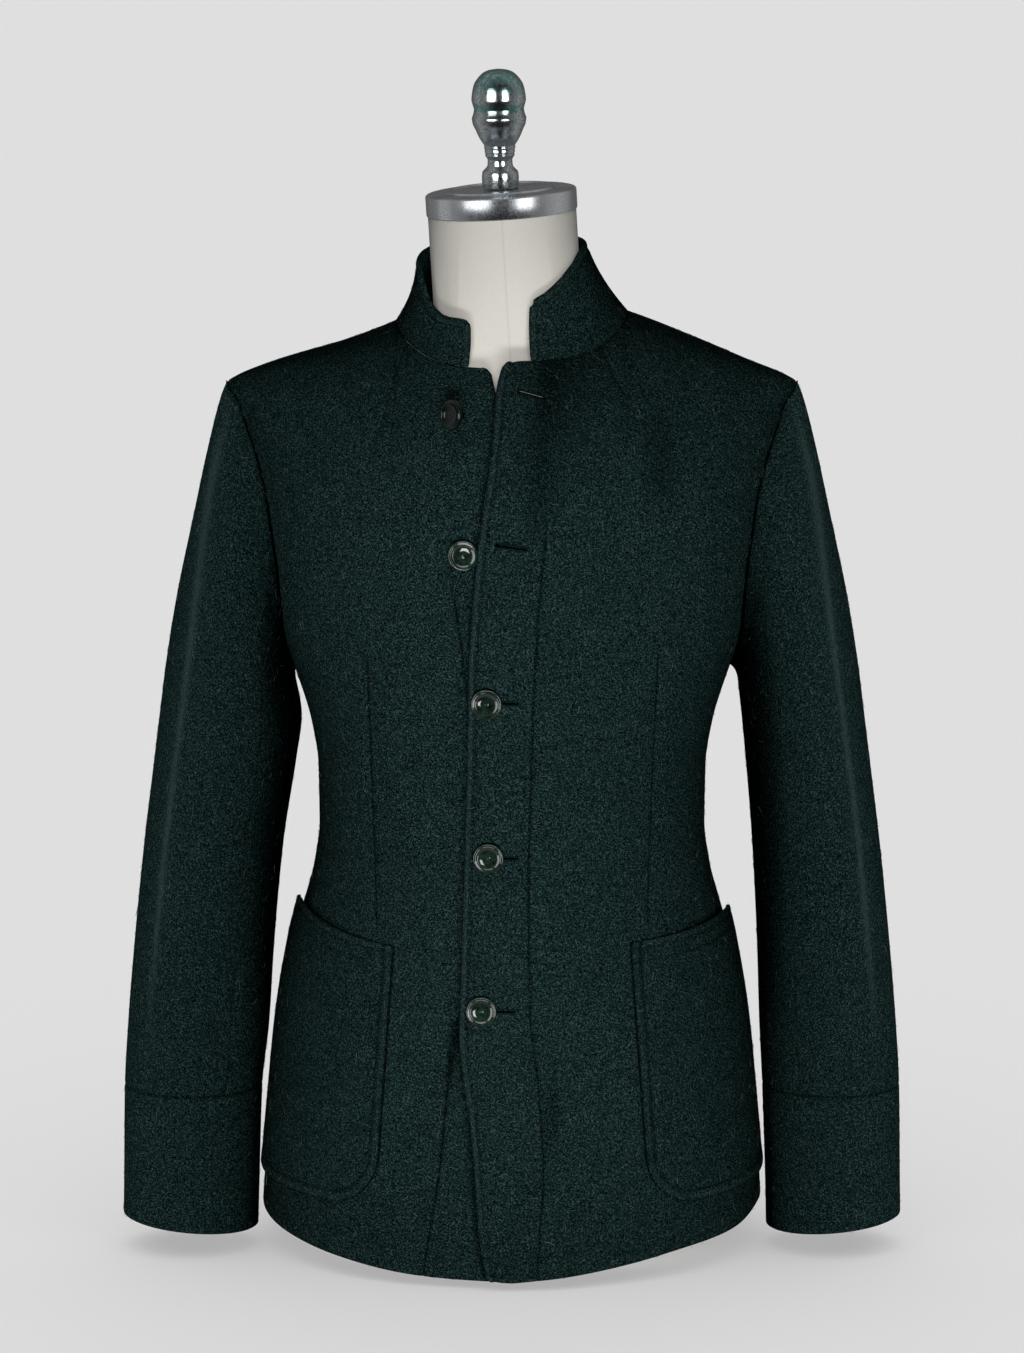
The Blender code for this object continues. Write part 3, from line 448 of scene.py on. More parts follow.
def wall(name, outer, inner, finish, uv, dip, closed=False, step=5):
    """One closed body: a fine outer sheet and a coarser inner one, joined round its rims."""
    facing = surface_normals(outer, closed) * (outer - inner)
    if np.median(facing.sum(axis=-1)) < 0:
        outer, inner, uv, dip = (grid[:, ::-1] for grid in (outer, inner, uv, dip))
    rows, columns = outer.shape[:2]
    row_kept = thinned(rows, step)
    column_kept = list(range(0, columns, step)) if closed else thinned(columns, step)
    inner = inner[row_kept][:, column_kept]
    points = np.concatenate((outer.reshape(-1, 3), inner.reshape(-1, 3)))
    start = rows * columns
    across = len(column_kept)

    def out(i, j):
        return i * columns + j % columns

    def back(a, b):
        return start + a * across + b % across

    faces = []
    spans = columns if closed else columns - 1
    for i in range(rows - 1):
        for j in range(spans):
            faces.append((out(i, j), out(i, j + 1), out(i + 1, j + 1), out(i + 1, j)))
    back_spans = across if closed else across - 1
    for a in range(len(row_kept) - 1):
        for b in range(back_spans):
            faces.append((back(a, b), back(a + 1, b), back(a + 1, b + 1), back(a, b + 1)))
    for i, a, turned in ((0, 0, True), (rows - 1, len(row_kept) - 1, False)):
        for b in range(back_spans):
            first = column_kept[b]
            last = column_kept[b + 1] if b + 1 < across else columns
            fan = [out(i, j) for j in range(first, last + 1)] + [back(a, b + 1), back(a, b)]
            faces.append(tuple(fan[::-1] if turned else fan))
    if not closed:
        for j, b, turned in ((0, 0, False), (columns - 1, across - 1, True)):
            for a in range(len(row_kept) - 1):
                rim = range(row_kept[a], row_kept[a + 1] + 1)
                fan = [out(i, j) for i in rim] + [back(a + 1, b), back(a, b)]
                faces.append(tuple(fan[::-1] if turned else fan))
    data = bpy.data.meshes.new(name)
    data.from_pydata(points.tolist(), [], faces)
    flat = np.concatenate((uv.reshape(-1, 2), uv[row_kept][:, column_kept].reshape(-1, 2)))
    layer = data.uv_layers.new(name="cloth")
    corners = np.empty(len(data.loops), np.int32)
    data.loops.foreach_get("vertex_index", corners)
    layer.data.foreach_set("uv", flat[corners].astype(np.float32).ravel())
    # The outer sheet carries the shade and highlight painted on it, partly wear; the inner one none
    behind = np.zeros(len(points) - start)
    for label, front in (("dip", dip.ravel()), ("outside", np.ones(start))):
        values = np.concatenate((front, behind)).astype(np.float32)
        data.attributes.new(label, "FLOAT", "POINT").data.foreach_set("value", values)
    data.materials.append(finish)
    data.shade_smooth()
    data.set_sharp_from_angle(angle=math.radians(55))
    return in_scene(name, data)


def bell(distance, width):
    """1 at zero distance, fading softly to 0."""
    return np.exp(-((distance / width) ** 2))


def groove(distance, depth, width):
    """A soft stitched channel at zero distance."""
    return -depth * bell(distance, width)


def pressed(*grooves):
    """How far a place is pressed into its seams and stitch lines, from 0 to 1: how much shade is
    painted there.
    """
    return np.clip(-sum(grooves) / 0.0008, 0, 1)


def rounded_edge(distance, radius):
    """How far a cut or turned edge rounds away at a distance from it."""
    t = np.clip(1 - distance / radius, 0, 1)
    return -radius * (1 - np.sqrt(np.maximum(1 - t * t, 0)))


def hollow(points, x, z, half_width, half_height, depth, lean=0.0):
    """A long soft trough, or a ridge where the depth is negative, centred at a place."""
    across = (points[..., 0] - x - lean * (points[..., 2] - z)) / half_width
    up = (points[..., 2] - z) / half_height
    return -depth * np.exp(-(across**2)) * np.clip(1 - up * up, 0, 1) ** 2


# ---------------------------------------------------------------- body panels

DART = Table(
    ("height", "right", "left"),
    (
        (0.000, 0.1000, 0.1000),
        (0.264, 0.1030, 0.1030),
        (0.402, 0.1070, 0.1070),
        (0.492, 0.1090, 0.1100),
        (0.560, 0.1105, 0.1085),
        (0.626, 0.1080, 0.1045),
        (0.660, 0.0970, 0.0935),
        (0.700, 0.0840, 0.0725),
        (0.740, 0.0710, 0.0560),
    ),
)
DART_SHARE = 0.36
DART_ENDS = {"right": ((0.264, 0.492), (0.626, 0.760)), "left": ((0.268, 0.496), (0.646, 0.760))}

SKIRT_ROWS = 13
CHEST_ROWS = 4
ROLL_ROWS = 8
ROWS = SKIRT_ROWS + CHEST_ROWS + ROLL_ROWS
CHEST_STEP = 20.0


def settle(level, x_at, shape):
    """Heights at which a line's level agrees with its own place across."""
    height = np.full(shape, UNDERARM)
    for _ in range(8):
        height = level(x_at(height))
    return height


def panel_surface(face, side, inner, outer, dart=False):
    """Function of (column share, row) on a panel between two edges, given as girth by height."""
    on_front = face == "front"
    word = WORD[side]

    def roll_start(x):
        return shoulder_height(x, on_front) - ROLL

    def top(x):
        inside_neck = np.abs(x) < NECK_POINT
        return np.where(inside_neck, neckline(x, face, side), shoulder_height(x, on_front))

    def point(share, row):
        share, row = np.broadcast_arrays(np.asarray(share, float), np.asarray(row, float))
        towards = np.minimum(share / DART_SHARE, (1 - share) / (1 - DART_SHARE))

        def girth(height):
            start, end = inner(height), outer(height)
            warped = share
            if dart:
                line = girth_of(side * DART.at(word, height), height)
                warped = share + ((line - start) / (end - start) - DART_SHARE) * towards
            return lerp(start, end, warped)

        def x_at(height):
            return coat_x(girth(height), height)

        def chest_level(x):
            turned = 1 - np.cos(np.radians(CHEST_STEP * (row - SKIRT_ROWS)))
            whole = 1 - math.cos(math.radians(CHEST_STEP * CHEST_ROWS))
            return lerp(UNDERARM, roll_start(x), turned / whole)

        def roll_level(x):
            start = roll_start(x)
            last = np.arcsin(np.minimum((top(x) - start) / ROLL, 1.0))
            rise = np.clip((row - SKIRT_ROWS - CHEST_ROWS) / ROLL_ROWS, 0, 1)
            return start + ROLL * np.sin(last * rise)

        hem = HEM.at(word, np.abs(girth(np.zeros(share.shape))))
        skirt = lerp(hem, UNDERARM, row / SKIRT_ROWS)
        chest = settle(chest_level, x_at, share.shape)
        roll = settle(roll_level, x_at, share.shape)
        height = np.where(row <= SKIRT_ROWS + CHEST_ROWS, chest, roll)
        height = np.where(row <= SKIRT_ROWS, skirt, height)
        place = girth(height)
        return front_point(side, place, height) if on_front else coat_point(place, height)

    return point


def places_along(lines, samples, coarse, near, reach, fine=FINE_STEP):
    """Row or column places that keep every line's steps short, and shorter still near marks.

    A mark is a distance along the first line, or back from its end where it is negative.
    """
    steps = [np.linalg.norm(np.diff(line(samples), axis=0), axis=1) for line in lines]
    first, along = (
        np.concatenate(([0.0], np.cumsum(step))) for step in (steps[0], np.max(steps, axis=0))
    )
    marks = [np.interp(mark if mark >= 0 else first[-1] + mark, first, along) for mark in near]
    return np.interp(spaced(along[-1], coarse, marks, fine, reach), along, samples)


def tuck_in(points, rows=(), columns=(), distance=0.0002):
    """Moves the named border rows and columns outward along the sheet, into the seam."""
    for k in rows:
        points[k] -= unit(points[1 if k == 0 else -2] - points[k]) * distance
    for k in columns:
        points[:, k] -= unit(points[:, 1 if k == 0 else -2] - points[:, k]) * distance


def round_corner(points, row, column, radius):
    """Draws the points near one corner of a sheet in, so that the corner is rounded."""
    across, up = distances(points, 1), distances(points, 0)
    across = across if column == 0 else across[:, -1:] - across
    up = up if row == 0 else up[-1:] - up
    a, b = np.maximum(radius - across, 0), np.maximum(radius - up, 0)
    whole = np.maximum(np.hypot(a, b), 1e-12)
    drawn = np.where(a * b > 0, 1 - np.maximum(a, b) / whole, 0)
    inward = unit(np.gradient(points, axis=1)) * (1 if column == 0 else -1)
    onward = unit(np.gradient(points, axis=0)) * (1 if row == 0 else -1)
    return points + inward * (a * drawn)[..., None] + onward * (b * drawn)[..., None]


def distance_to(points, border):
    """Each point's shortest distance to a close-set line of border points."""
    flat = points.reshape(-1, 3)
    found = np.empty(len(flat))
    for start in range(0, len(flat), 2000):
        apart = flat[start : start + 2000, None] - border[None]
        found[start : start + 2000] = np.linalg.norm(apart, axis=-1).min(axis=1)
    return found.reshape(points.shape[:-1])


def in_between(border, step=FINE_STEP):
    """A line's points set closer together."""
    along = np.concatenate(([0.0], np.cumsum(np.linalg.norm(np.diff(border, axis=0), axis=1))))
    places = np.linspace(0, along[-1], int(along[-1] / step) + 2)
    return np.stack([np.interp(places, along, border[:, k]) for k in range(3)], axis=-1)


def laid_on(path, points, normals, lift):
    """A line drawn onto a sheet, and the sheet's normals along it."""
    flat, ups = points.reshape(-1, 3), normals.reshape(-1, 3)
    nearest = np.array([np.square(flat - place).sum(axis=1).argmin() for place in path])
    up = ups[nearest]
    height = ((path - flat[nearest]) * up).sum(axis=1, keepdims=True)
    return path - up * height + up * lift, up


def edge_distances(points):
    """Distances of each point from the four borders of its sheet."""
    across, up = distances(points, 1), distances(points, 0)
    return across, across[:, -1:] - across, up, up[-1:] - up


def outward(points, closed=False):
    """Unit normals, turned to face away from the coat's upright middle line."""
    normals = surface_normals(points, closed)
    middle = points.reshape(-1, 3).mean(axis=0) * (0, 0, 1)
    facing = ((points - middle) * normals)[..., :2].sum(axis=-1)
    return normals * math.copysign(1, np.median(facing))


# Place across, height, half width, half height, depth and lean of each soft fold
FOLDS = {
    "front_left": (
        (0.111, 0.640, 0.013, 0.060, 0.0016, 0.0),
        (0.030, 0.135, 0.008, 0.052, 0.0014, 0.12),
    ),
}
# Heights between which a band's seam fades, pressed open under the nap, and by how much
SEAM_FADE = {RIGHT: (0.520, 0.575, 0.92), LEFT: (0.560, 0.640, 0.85)}
VALLEY = 0.0022             # the soft valley that runs down the left band's seam
VALLEY_WIDTH = 0.012

# How dark each shaded place is, where 1 is as dark as a seam
FOLD_SHADE = 0.55
CHEST_SHADE = 0.62          # the left front beside its valley
HEM_SHADE = 0.30
OVERLAP_SHADE = (0.85, 0.55)  # the right front beside the overlap, low down and higher up
DEEP_FOLD_SHADE = 1.1       # below the lowest button
POCKET_SHADE = 0.10
SLEEVE_SHADE = 0.9          # the side that hangs next to the body

# How pale each rolled edge is painted, partly wear and partly painted highlight
BAND_WEAR_AND_HIGHLIGHT = 0.45
COLLAR_WEAR_AND_HIGHLIGHT = 0.40
POCKET_WEAR_AND_HIGHLIGHT = 0.35
MOUTH_WEAR_AND_HIGHLIGHT = 0.30
# How bright the highlight painted down the outer front of each sleeve is
SLEEVE_HIGHLIGHT = 1.25


# A piece's sheets, normals and flat map, and the shade and highlight painted on it, partly wear
Sheet = collections.namedtuple("Sheet", "outer inner normals flat dip")


def body_piece(name, face, side, inner, outer, thickness, coarse, seams, near):
    """A front, a back or a band, with its seams, stitch lines, darts and folds."""
    word = WORD[side]
    is_front, is_band = name.startswith("front"), name.startswith("band")
    surface = panel_surface(face, side, inner, outer, dart=is_front)
    rows = places_along(
        [lambda row: surface(0.5, row)], np.linspace(0, ROWS, 251),
        coarse, (0.0, HEM_STITCH, END), 0.009, 0.0007,
    )
    marks = [0.0, END, *near]
    if is_front:
        line = surface(np.linspace(0, DART_SHARE, 40), 9.0)
        marks.append(float(np.linalg.norm(np.diff(line, axis=0), axis=1).sum()))
    across_lines = [lambda share, row=row: surface(share, row) for row in (9.0, 20.0, 23.0, ROWS)]
    shares = places_along(across_lines, np.linspace(0, 1, 1501), coarse, marks, 0.009)
    if is_front:
        shares[np.abs(shares - DART_SHARE).argmin()] = DART_SHARE
    points = surface(*np.meshgrid(shares, rows))
    if is_band:
        points = round_corner(points, -1, 0, 0.0050)
        points = round_corner(points, 0, 0, 0.0040)
    normals = outward(points)
    if face == "back":
        normals[:, 0, 0] = 0
    on_shoulder = np.abs(points[-1, :, 0]) > NECK_POINT - SEAM_GAP
    normals[-1, on_shoulder, 1] = 0
    normals = unit(normals)

    level = points[..., 2]
    start, end, low, high = edge_distances(points)
    press = groove(high, 0.0006, 0.0009) + groove(low - HEM_STITCH, 0.0004, 0.0010)
    rise = rounded_edge(low, 0.0012)
    faint = 1.0
    if face == "front":
        bottom, top, share = SEAM_FADE[side]
        faint = 1 - share * ease(bottom, top, level)
    if 0 in seams:
        press += groove(start, 0.0008, 0.0011) * faint
    if -1 in seams:
        depth = 0.0008 if side == LEFT else 0.0010
        press += groove(end, depth, 0.0011) * (faint if is_band else 0.8)
    if is_band:
        rise += rounded_edge(start, 0.0022)
    # The top of the free edge is grooved, and the edge's shadow is painted in the groove
    if name == "band_right":
        press += groove(start, 0.0010, 0.0018) * ease(0.660, 0.675, level)
    if name == "band_left":
        press += groove(start - EDGE_STITCH, 0.00045, 0.0010)
        rise += groove(start - 0.0066, 0.0009, 0.0026) + 0.0005 * bell(start - 0.0030, 0.0020)
    if is_front:
        at_dart = np.abs(shares - DART_SHARE).argmin()
        away = np.abs(start - start[:, at_dart : at_dart + 1])
        height = points[:, at_dart : at_dart + 1, 2]
        for bottom, top in DART_ENDS[word]:
            there = ease(bottom - 0.002, bottom + 0.020, height)
            there = there * (1 - ease(top - 0.020, top + 0.002, height))
            depth = 0.0008 if top < UNDERARM + 0.1 else 0.0004
            press += groove(away, depth, 0.0009) * there
            rise += groove(away, 0.0007, 0.0065) * there
    bend, shade = np.zeros(points.shape[:2]), np.zeros(points.shape[:2])
    for fold in FOLDS.get(name, ()):
        bend += hollow(points, *fold)
        shade += FOLD_SHADE * np.abs(hollow(points, *fold)) / abs(fold[4])
    if side == LEFT and face == "front":
        away = points[..., 0] - FRONT.at("left_seam", level)
        there = ease(0.540, 0.600, level) * (1 - ease(0.660, 0.705, level))
        bend += groove(away + 0.003, VALLEY, VALLEY_WIDTH) * there
        there = ease(0.555, 0.615, level)
        shade += FOLD_SHADE * bell(away + 0.006, VALLEY_WIDTH) * there
        there = ease(0.600, 0.700, level)
        shade += CHEST_SHADE * bell(away - 0.012, 0.028) * there
    if is_front:
        # The shadow of the pocket's gape, painted above its mouth, deepest at its outer end
        mouth = in_between(pocket_surface(side)(np.linspace(0, 1, 60), np.full(60, 1.0)), 0.001)
        rows_near = np.abs(level.mean(axis=1) - 0.268) < 0.045
        part = points[rows_near]
        above = distance_to(part, mouth)
        gape_shadow = bell(above, 0.0034) * ease(0.085, 0.150, np.abs(part[..., 0]))
        shade[rows_near] += np.where(above < 0.012, gape_shadow, 0)
    if side == RIGHT and face == "front":
        # The shade beside the overlap's edge, and the deep fold under the last button
        away = FRONT.at("left_edge", level) - points[..., 0]
        shade += lerp(*OVERLAP_SHADE, ease(0.190, 0.230, level)) * bell(away, 0.0036)
        away = FRONT.at("right_seam", level) - points[..., 0]
        there = ease(0.135, 0.175, level) * (1 - ease(0.200, 0.212, level))
        shade += DEEP_FOLD_SHADE * bell(away, 0.0038) * there
        rise += groove(away, 0.0016, 0.0040) * there
    shade += HEM_SHADE * (1 - ease(0.010, 0.130, level))
    outer_sheet = points + normals * (rise + press + bend)[..., None]
    inner_sheet = points + normals * (bend - thickness)[..., None]
    for sheet in (outer_sheet, inner_sheet):
        tuck_in(sheet, rows=(-1,), columns=seams)
    # Painted shade in the seams, stitch lines, folds and shaded places; on the left band a paler
    # roll, partly wear and partly painted highlight
    dip = np.maximum(pressed(press), np.clip(shade, 0, 1))
    if name == "band_left":
        dip -= BAND_WEAR_AND_HIGHLIGHT * bell(start - 0.0030, 0.0020)
    return Sheet(outer_sheet, inner_sheet, normals, cloth_map(points, side), dip)


def cloth_map(points, side=1):
    """Flat place of each point on its cut piece, in metres: round the body, and up."""
    return np.stack((side * distances(points, 1), distances(points, 0)), axis=-1)


def front_edges(side):
    word = WORD[side]
    return (
        column(word + "_edge"),
        column(word + "_seam"),
        lambda height: side * armhole_girth(height, "front"),
    )


# ---------------------------------------------------------------- collar


def collar_seam(turn):
    """Points of the neckline, turn degrees round from the middle of the front."""
    x = NECK_POINT * np.sin(np.radians(turn))
    on_front = np.cos(np.radians(turn)) > 0
    height = np.where(
        on_front,
        np.where(x > 0, neckline(x, "front", LEFT), neckline(x, "front", RIGHT)),
        np.where(x > 0, neckline(x, "back", LEFT), neckline(x, "back", RIGHT)),
    )
    girth = np.abs(girth_of(x, height))
    girth = np.copysign(np.where(on_front, girth, 180 - girth), x)
    point = coat_point(girth, height)
    lifted = on_front & (x > 0)
    point[..., 1] -= np.where(lifted, overlap_lift(x, height), 0)
    return point


def collar_top(turn):
    heading = np.radians(-turn)
    depth = np.where(np.cos(heading) > 0, COLLAR_TOP_DEPTH["front"], COLLAR_TOP_DEPTH["back"])
    return stack(
        COLLAR_TOP_CENTRE[0] + COLLAR_TOP_HALF_WIDTH * np.sin(heading),
        COLLAR_TOP_CENTRE[1] - depth * np.cos(heading),
        COLLAR_TOP.at("height", turn),
    )


def collar_piece():
    def line(turn):
        share = (turn - COLLAR_START) / (COLLAR_END - COLLAR_START)
        return collar_seam(-turn), collar_top(lerp(COLLAR_TOP_START, COLLAR_TOP_END, share))

    lines = [lambda turn, up=up: lerp(*line(turn), up) for up in (0.5, 0.0)]
    turns = places_along(
        lines, np.linspace(COLLAR_START, COLLAR_END, 900),
        0.0022, (0.0, COLLAR_STITCH, -COLLAR_STITCH, END), 0.008,
    )
    foot, top = line(turns)
    up = places_along(
        [lambda share: np.outer(share, (0, 0, 0.055))], np.linspace(0, 1, 50),
        0.0020, (0.0, -COLLAR_STITCH, END), 0.006,
    )[:, None, None]
    inward = unit((np.array((*COLLAR_TOP_CENTRE, 0)) - foot) * (1, 1, 0))
    points = lerp(foot, top, up) + inward * COLLAR_HOLLOW * 4 * up * (1 - up)
    points = round_corner(round_corner(points, -1, 0, 0.0055), -1, -1, 0.0060)
    points[-1, -1] = (points[-2, -1] + points[-1, -2]) / 2
    normals = outward(points)
    normals[0, :, 2] = 0
    normals = unit(normals)
    low = distances(points, 0)
    border = in_between(np.concatenate((points[:, 0], points[-1], points[::-1, -1])))
    nearest = distance_to(points, border)
    press = groove(low, 0.0007, 0.0010) + groove(nearest - COLLAR_STITCH, 0.0003, 0.0010)
    rise = rounded_edge(nearest, 0.0022) + groove(nearest - 0.0054, 0.0006, 0.0024)
    outer = points + normals * (rise + press)[..., None]
    inner = points - normals * COLLAR_CLOTH
    inner -= normals * rounded_edge(nearest, 0.0014)[..., None]
    for sheet in (outer, inner):
        tuck_in(sheet, rows=(0,), distance=0.0012)
    # Painted shade in the seam and stitch grooves; a paler rolled edge, partly wear and partly
    # painted highlight
    dip = pressed(press) - COLLAR_WEAR_AND_HIGHLIGHT * bell(nearest - 0.0028, 0.0018)
    return Sheet(outer, inner, normals, cloth_map(points), dip)


# ---------------------------------------------------------------- sleeves


def sleeve_ring(share, side, loops):
    """Points between the sleeve's outer and inner outline, at ring shares and loop angles."""
    outer_height = SLEEVE_RING.at("outer_height", share)
    inner_height = SLEEVE_RING.at("inner_height", share)
    inner_name = "inner_" + WORD[side]
    outer_x = SLEEVE_OUTLINE.at("outer", outer_height)
    inner_x = SLEEVE_OUTLINE.at(inner_name, inner_height)
    turn = np.radians(loops)
    x = (outer_x + inner_x) / 2 + (outer_x - inner_x) / 2 * np.cos(turn)
    y = SLEEVE_RING.at("middle_y", share) - SLEEVE_RING.at("half_depth", share) * np.sin(turn)
    z = (outer_height + inner_height) / 2 + (outer_height - inner_height) / 2 * np.cos(turn)
    return stack(side * x, y, z)


def armhole_points(side, loops):
    """Points of the armhole's edge, and the direction along the body into the hole."""
    loops = np.mod(loops, 360)
    height = ARMHOLE_MIDDLE + ARMHOLE_HALF * np.cos(np.radians(loops))
    girth = side * ARMHOLE.at("girth", loops)
    points = coat_point(girth, height)
    across = coat_point(girth + 0.2, height) - coat_point(girth - 0.2, height)
    up = points - coat_point(girth, height - 0.0005)
    normals = unit(np.cross(across, up))
    tangents = np.gradient(points, axis=0)
    into = unit(np.cross(tangents, normals))
    middle = np.array((points[:, 0].mean(), points[:, 1].mean(), ARMHOLE_MIDDLE))
    facing = ((middle - points) * into).sum(axis=-1, keepdims=True)
    return points, into * np.copysign(1, facing)


def sleeve_point(side, loops, hole, into, share):
    """Rings of the sleeve, with the armhole's own shape fading out below its head."""
    fade = np.clip(1 - share / SLEEVE_HEAD_BLEND, 0, 1) ** 2
    shift = hole + into * SEAM_GAP - sleeve_ring(0.0, side, loops)
    return sleeve_ring(share, side, loops) + shift * fade[..., None]


def cuff_points(side, loops, seam, share):
    turns = np.cos(np.radians(loops))
    inner_name = "inner_" + WORD[side]
    level = lerp(CUFF_SEAM, CUFF_HEM, share)
    outer = SLEEVE_OUTLINE.at("outer", level)
    inner = SLEEVE_OUTLINE.at(inner_name, level)
    x = side * ((outer + inner) / 2 + (outer - inner) / 2 * turns)
    return stack(x, seam[..., 1], lerp(CUFF_SEAM, CUFF_HEM + CUFF_HEM_TILT * turns, share))


SLEEVE_PIECES = {
    "sleeve_top": (BACK_SLEEVE_SEAM, 360 + FRONT_SLEEVE_SEAM),
    "sleeve_under": (FRONT_SLEEVE_SEAM, BACK_SLEEVE_SEAM),
}


def painted_sleeve_highlight(points, normals):
    """A highlight painted down the outer front of the sleeve, fading above the cuff."""
    reach = np.abs(points[..., 0])
    height = points[..., 2]
    inset = lerp(0.0185, 0.0060, ease(0.440, 0.620, height))
    away = reach.max(axis=1, keepdims=True) - reach - inset
    line = bell(away, 0.0021) + 0.12 * bell(away, 0.0070)
    there = ease(0.140, 0.300, height) * (1 - ease(0.600, 0.680, height))
    return np.where(normals[..., 1] < 0, SLEEVE_HIGHLIGHT * line * there, 0)


def sleeve_shade(points, normals, side):
    """The shade on the side that hangs next to the body."""
    inward = -side * normals[..., 0]
    return SLEEVE_SHADE * ease(0.45, 0.85, inward) * ease(0.10, 0.25, points[..., 2])


def sleeve_pieces(side, coarse):
    """The top sleeve, the under sleeve and the cuff, cut out of one tube."""
    found = {}
    for piece, (first, last) in SLEEVE_PIECES.items():
        loops = places_along(
            [lambda loop: sleeve_ring(0.35, side, loop)],
            np.linspace(first, last, 200), coarse, (0.0, END), 0.009,
        )
        hole, into = armhole_points(side, loops)
        shares = places_along(
            [lambda share: sleeve_ring(share, side, 0.0)],
            np.linspace(0, 1, 200), coarse, (0.0, END), 0.010,
        )[:, None]
        points = sleeve_point(side, loops, hole, into, shares)
        normals = sleeve_outward(points, side)
        start, end, low, high = edge_distances(points)
        press = groove(start, 0.0003, 0.0009) + groove(end, 0.0003, 0.0009)
        press += groove(low, 0.0008, 0.0012) + groove(high, 0.0008, 0.0011)
        outer, inner = points + normals * press[..., None], points - normals * CLOTH
        for sheet in (outer, inner):
            tuck_in(sheet, rows=(-1,), columns=(0, -1))
        # Shade painted in the seams and on the side next to the body; on the top sleeve, a painted
        # highlight
        dip = np.maximum(pressed(press), sleeve_shade(points, normals, side))
        if piece == "sleeve_top":
            dip -= painted_sleeve_highlight(points, normals)
        found[piece] = Sheet(outer, inner, normals, cloth_map(points, side), dip)
    loops = np.linspace(0, 360, 151)[:-1]
    hole, into = armhole_points(side, loops)
    seam = sleeve_point(side, loops, hole, into, np.ones((1, 1)))
    down = places_along(
        [lambda share: np.outer(share, (0, 0, CUFF_SEAM - CUFF_HEM))], np.linspace(0, 1, 100),
        coarse, (0.0, END), 0.008,
    )[:, None]
    points = cuff_points(side, loops, seam, down)
    normals = sleeve_outward(points, side, closed=True)
    low = distances(points, 0)
    high = low[-1:] - low
    press = groove(low, 0.0006, 0.0011)
    outer = points + normals * (press + rounded_edge(high, 0.0012))[..., None]
    inner = points - normals * CLOTH
    for sheet in (outer, inner):
        tuck_in(sheet, rows=(0,))
    # Shade painted in the cuff's seam and on the side next to the body
    dip = np.maximum(pressed(press), sleeve_shade(points, normals, side))
    found["cuff"] = Sheet(outer, inner, normals, cloth_map(points, side), dip)
    return found


def sleeve_outward(points, side, closed=False):
    """Unit normals that face away from the sleeve's own middle."""
    normals = surface_normals(points, closed)
    middle = np.array((side * 0.225, -0.01, 0.0))
    facing = ((points - middle) * normals)[..., :2].sum(axis=-1)
    return normals * math.copysign(1, np.median(facing))


# ---------------------------------------------------------------- pockets


def corner(distance, radius):
    """Rise of a rounded corner at a distance from its upright edge."""
    inside = np.maximum(radius - distance, 0)
    return radius - np.sqrt(radius**2 - inside**2)


def pocket_surface(side):
    word = WORD[side]

    def edge_distance(height):
        return POCKET_INNER + (POCKET_MOUTH.at(word, 0.0) - height) * POCKET_SLANT

    low_inner = girth_of(edge_distance(POCKET_BOTTOM), POCKET_BOTTOM)
    span = np.radians(POCKET_OUTER_ANGLE - low_inner) * BODY.at("half_width", POCKET_BOTTOM)
    arc = span * POCKET_ARC

    def point(share, up):
        low = POCKET_BOTTOM + corner(share * arc, POCKET_INNER_CORNER)
        low = low + corner((1 - share) * arc, POCKET_OUTER_CORNER)
        height = lerp(low, POCKET_MOUTH.at(word, share), up)
        inner = girth_of(edge_distance(height), height)
        return front_point(side, side * lerp(inner, POCKET_OUTER_ANGLE, share), height)

    return point


def pocket_piece(side, coarse):
    surface = pocket_surface(side)
    shares = places_along(
        [lambda share, up=up: surface(share, np.full(share.shape, up)) for up in (0.5, 0.0)],
        np.linspace(0, 1, 600), coarse, (0.0, POCKET_STITCH, -POCKET_STITCH, END), 0.008,
    )
    ups = places_along(
        [lambda up: surface(np.full(up.shape, 0.5), up)], np.linspace(0, 1, 200),
        coarse, (0.0, POCKET_STITCH, -MOUTH_STITCHES[0], END), 0.008,
    )
    share, up = np.meshgrid(shares, ups)
    points = surface(share, up)
    points = round_corner(round_corner(points, -1, 0, 0.0025), -1, -1, 0.0025)
    normals = outward(points)
    stand = POCKET_GAP + POCKET_GAPE * up**4 * share**2
    high = distances(points, 0)
    high = high[-1:] - high
    border = in_between(np.concatenate((points[::-1, 0], points[0], points[:, -1])))
    rim = distance_to(points, border)
    rise = rounded_edge(rim, 0.0014) + rounded_edge(high, 0.0012)
    rise += groove(rim - 0.0087, 0.0011, 0.0028) + 0.0005 * bell(rim - 0.0040, 0.0025)
    press = groove(rim - POCKET_STITCH, 0.00045, 0.0011)
    press += sum(groove(high - depth, 0.0003, 0.0010) for depth in MOUTH_STITCHES)
    inner = points + normals * stand[..., None]
    outer = points + normals * (stand + POCKET_CLOTH + rise + press)[..., None]
    # Painted shade in the stitch grooves, a painted shadow line along the pocket's edge and a
    # little all over; paler rim and mouth, partly wear, partly painted highlight
    dip = np.maximum(pressed(press), np.clip(1.8 - rim / 0.0009, 0, 1)) + POCKET_SHADE
    dip -= POCKET_WEAR_AND_HIGHLIGHT * bell(rim - 0.0042, 0.0022) + MOUTH_WEAR_AND_HIGHLIGHT * bell(high - 0.0030, 0.0020)
    return Sheet(outer, inner, normals, cloth_map(points, side), dip)


# ---------------------------------------------------------------- finishes


def feed(tree, socket, value):
    """Links another node's output to a socket, or sets the socket's own value."""
    if isinstance(value, bpy.types.NodeSocket):
        tree.links.new(value, socket)
    else:
        socket.default_value = value


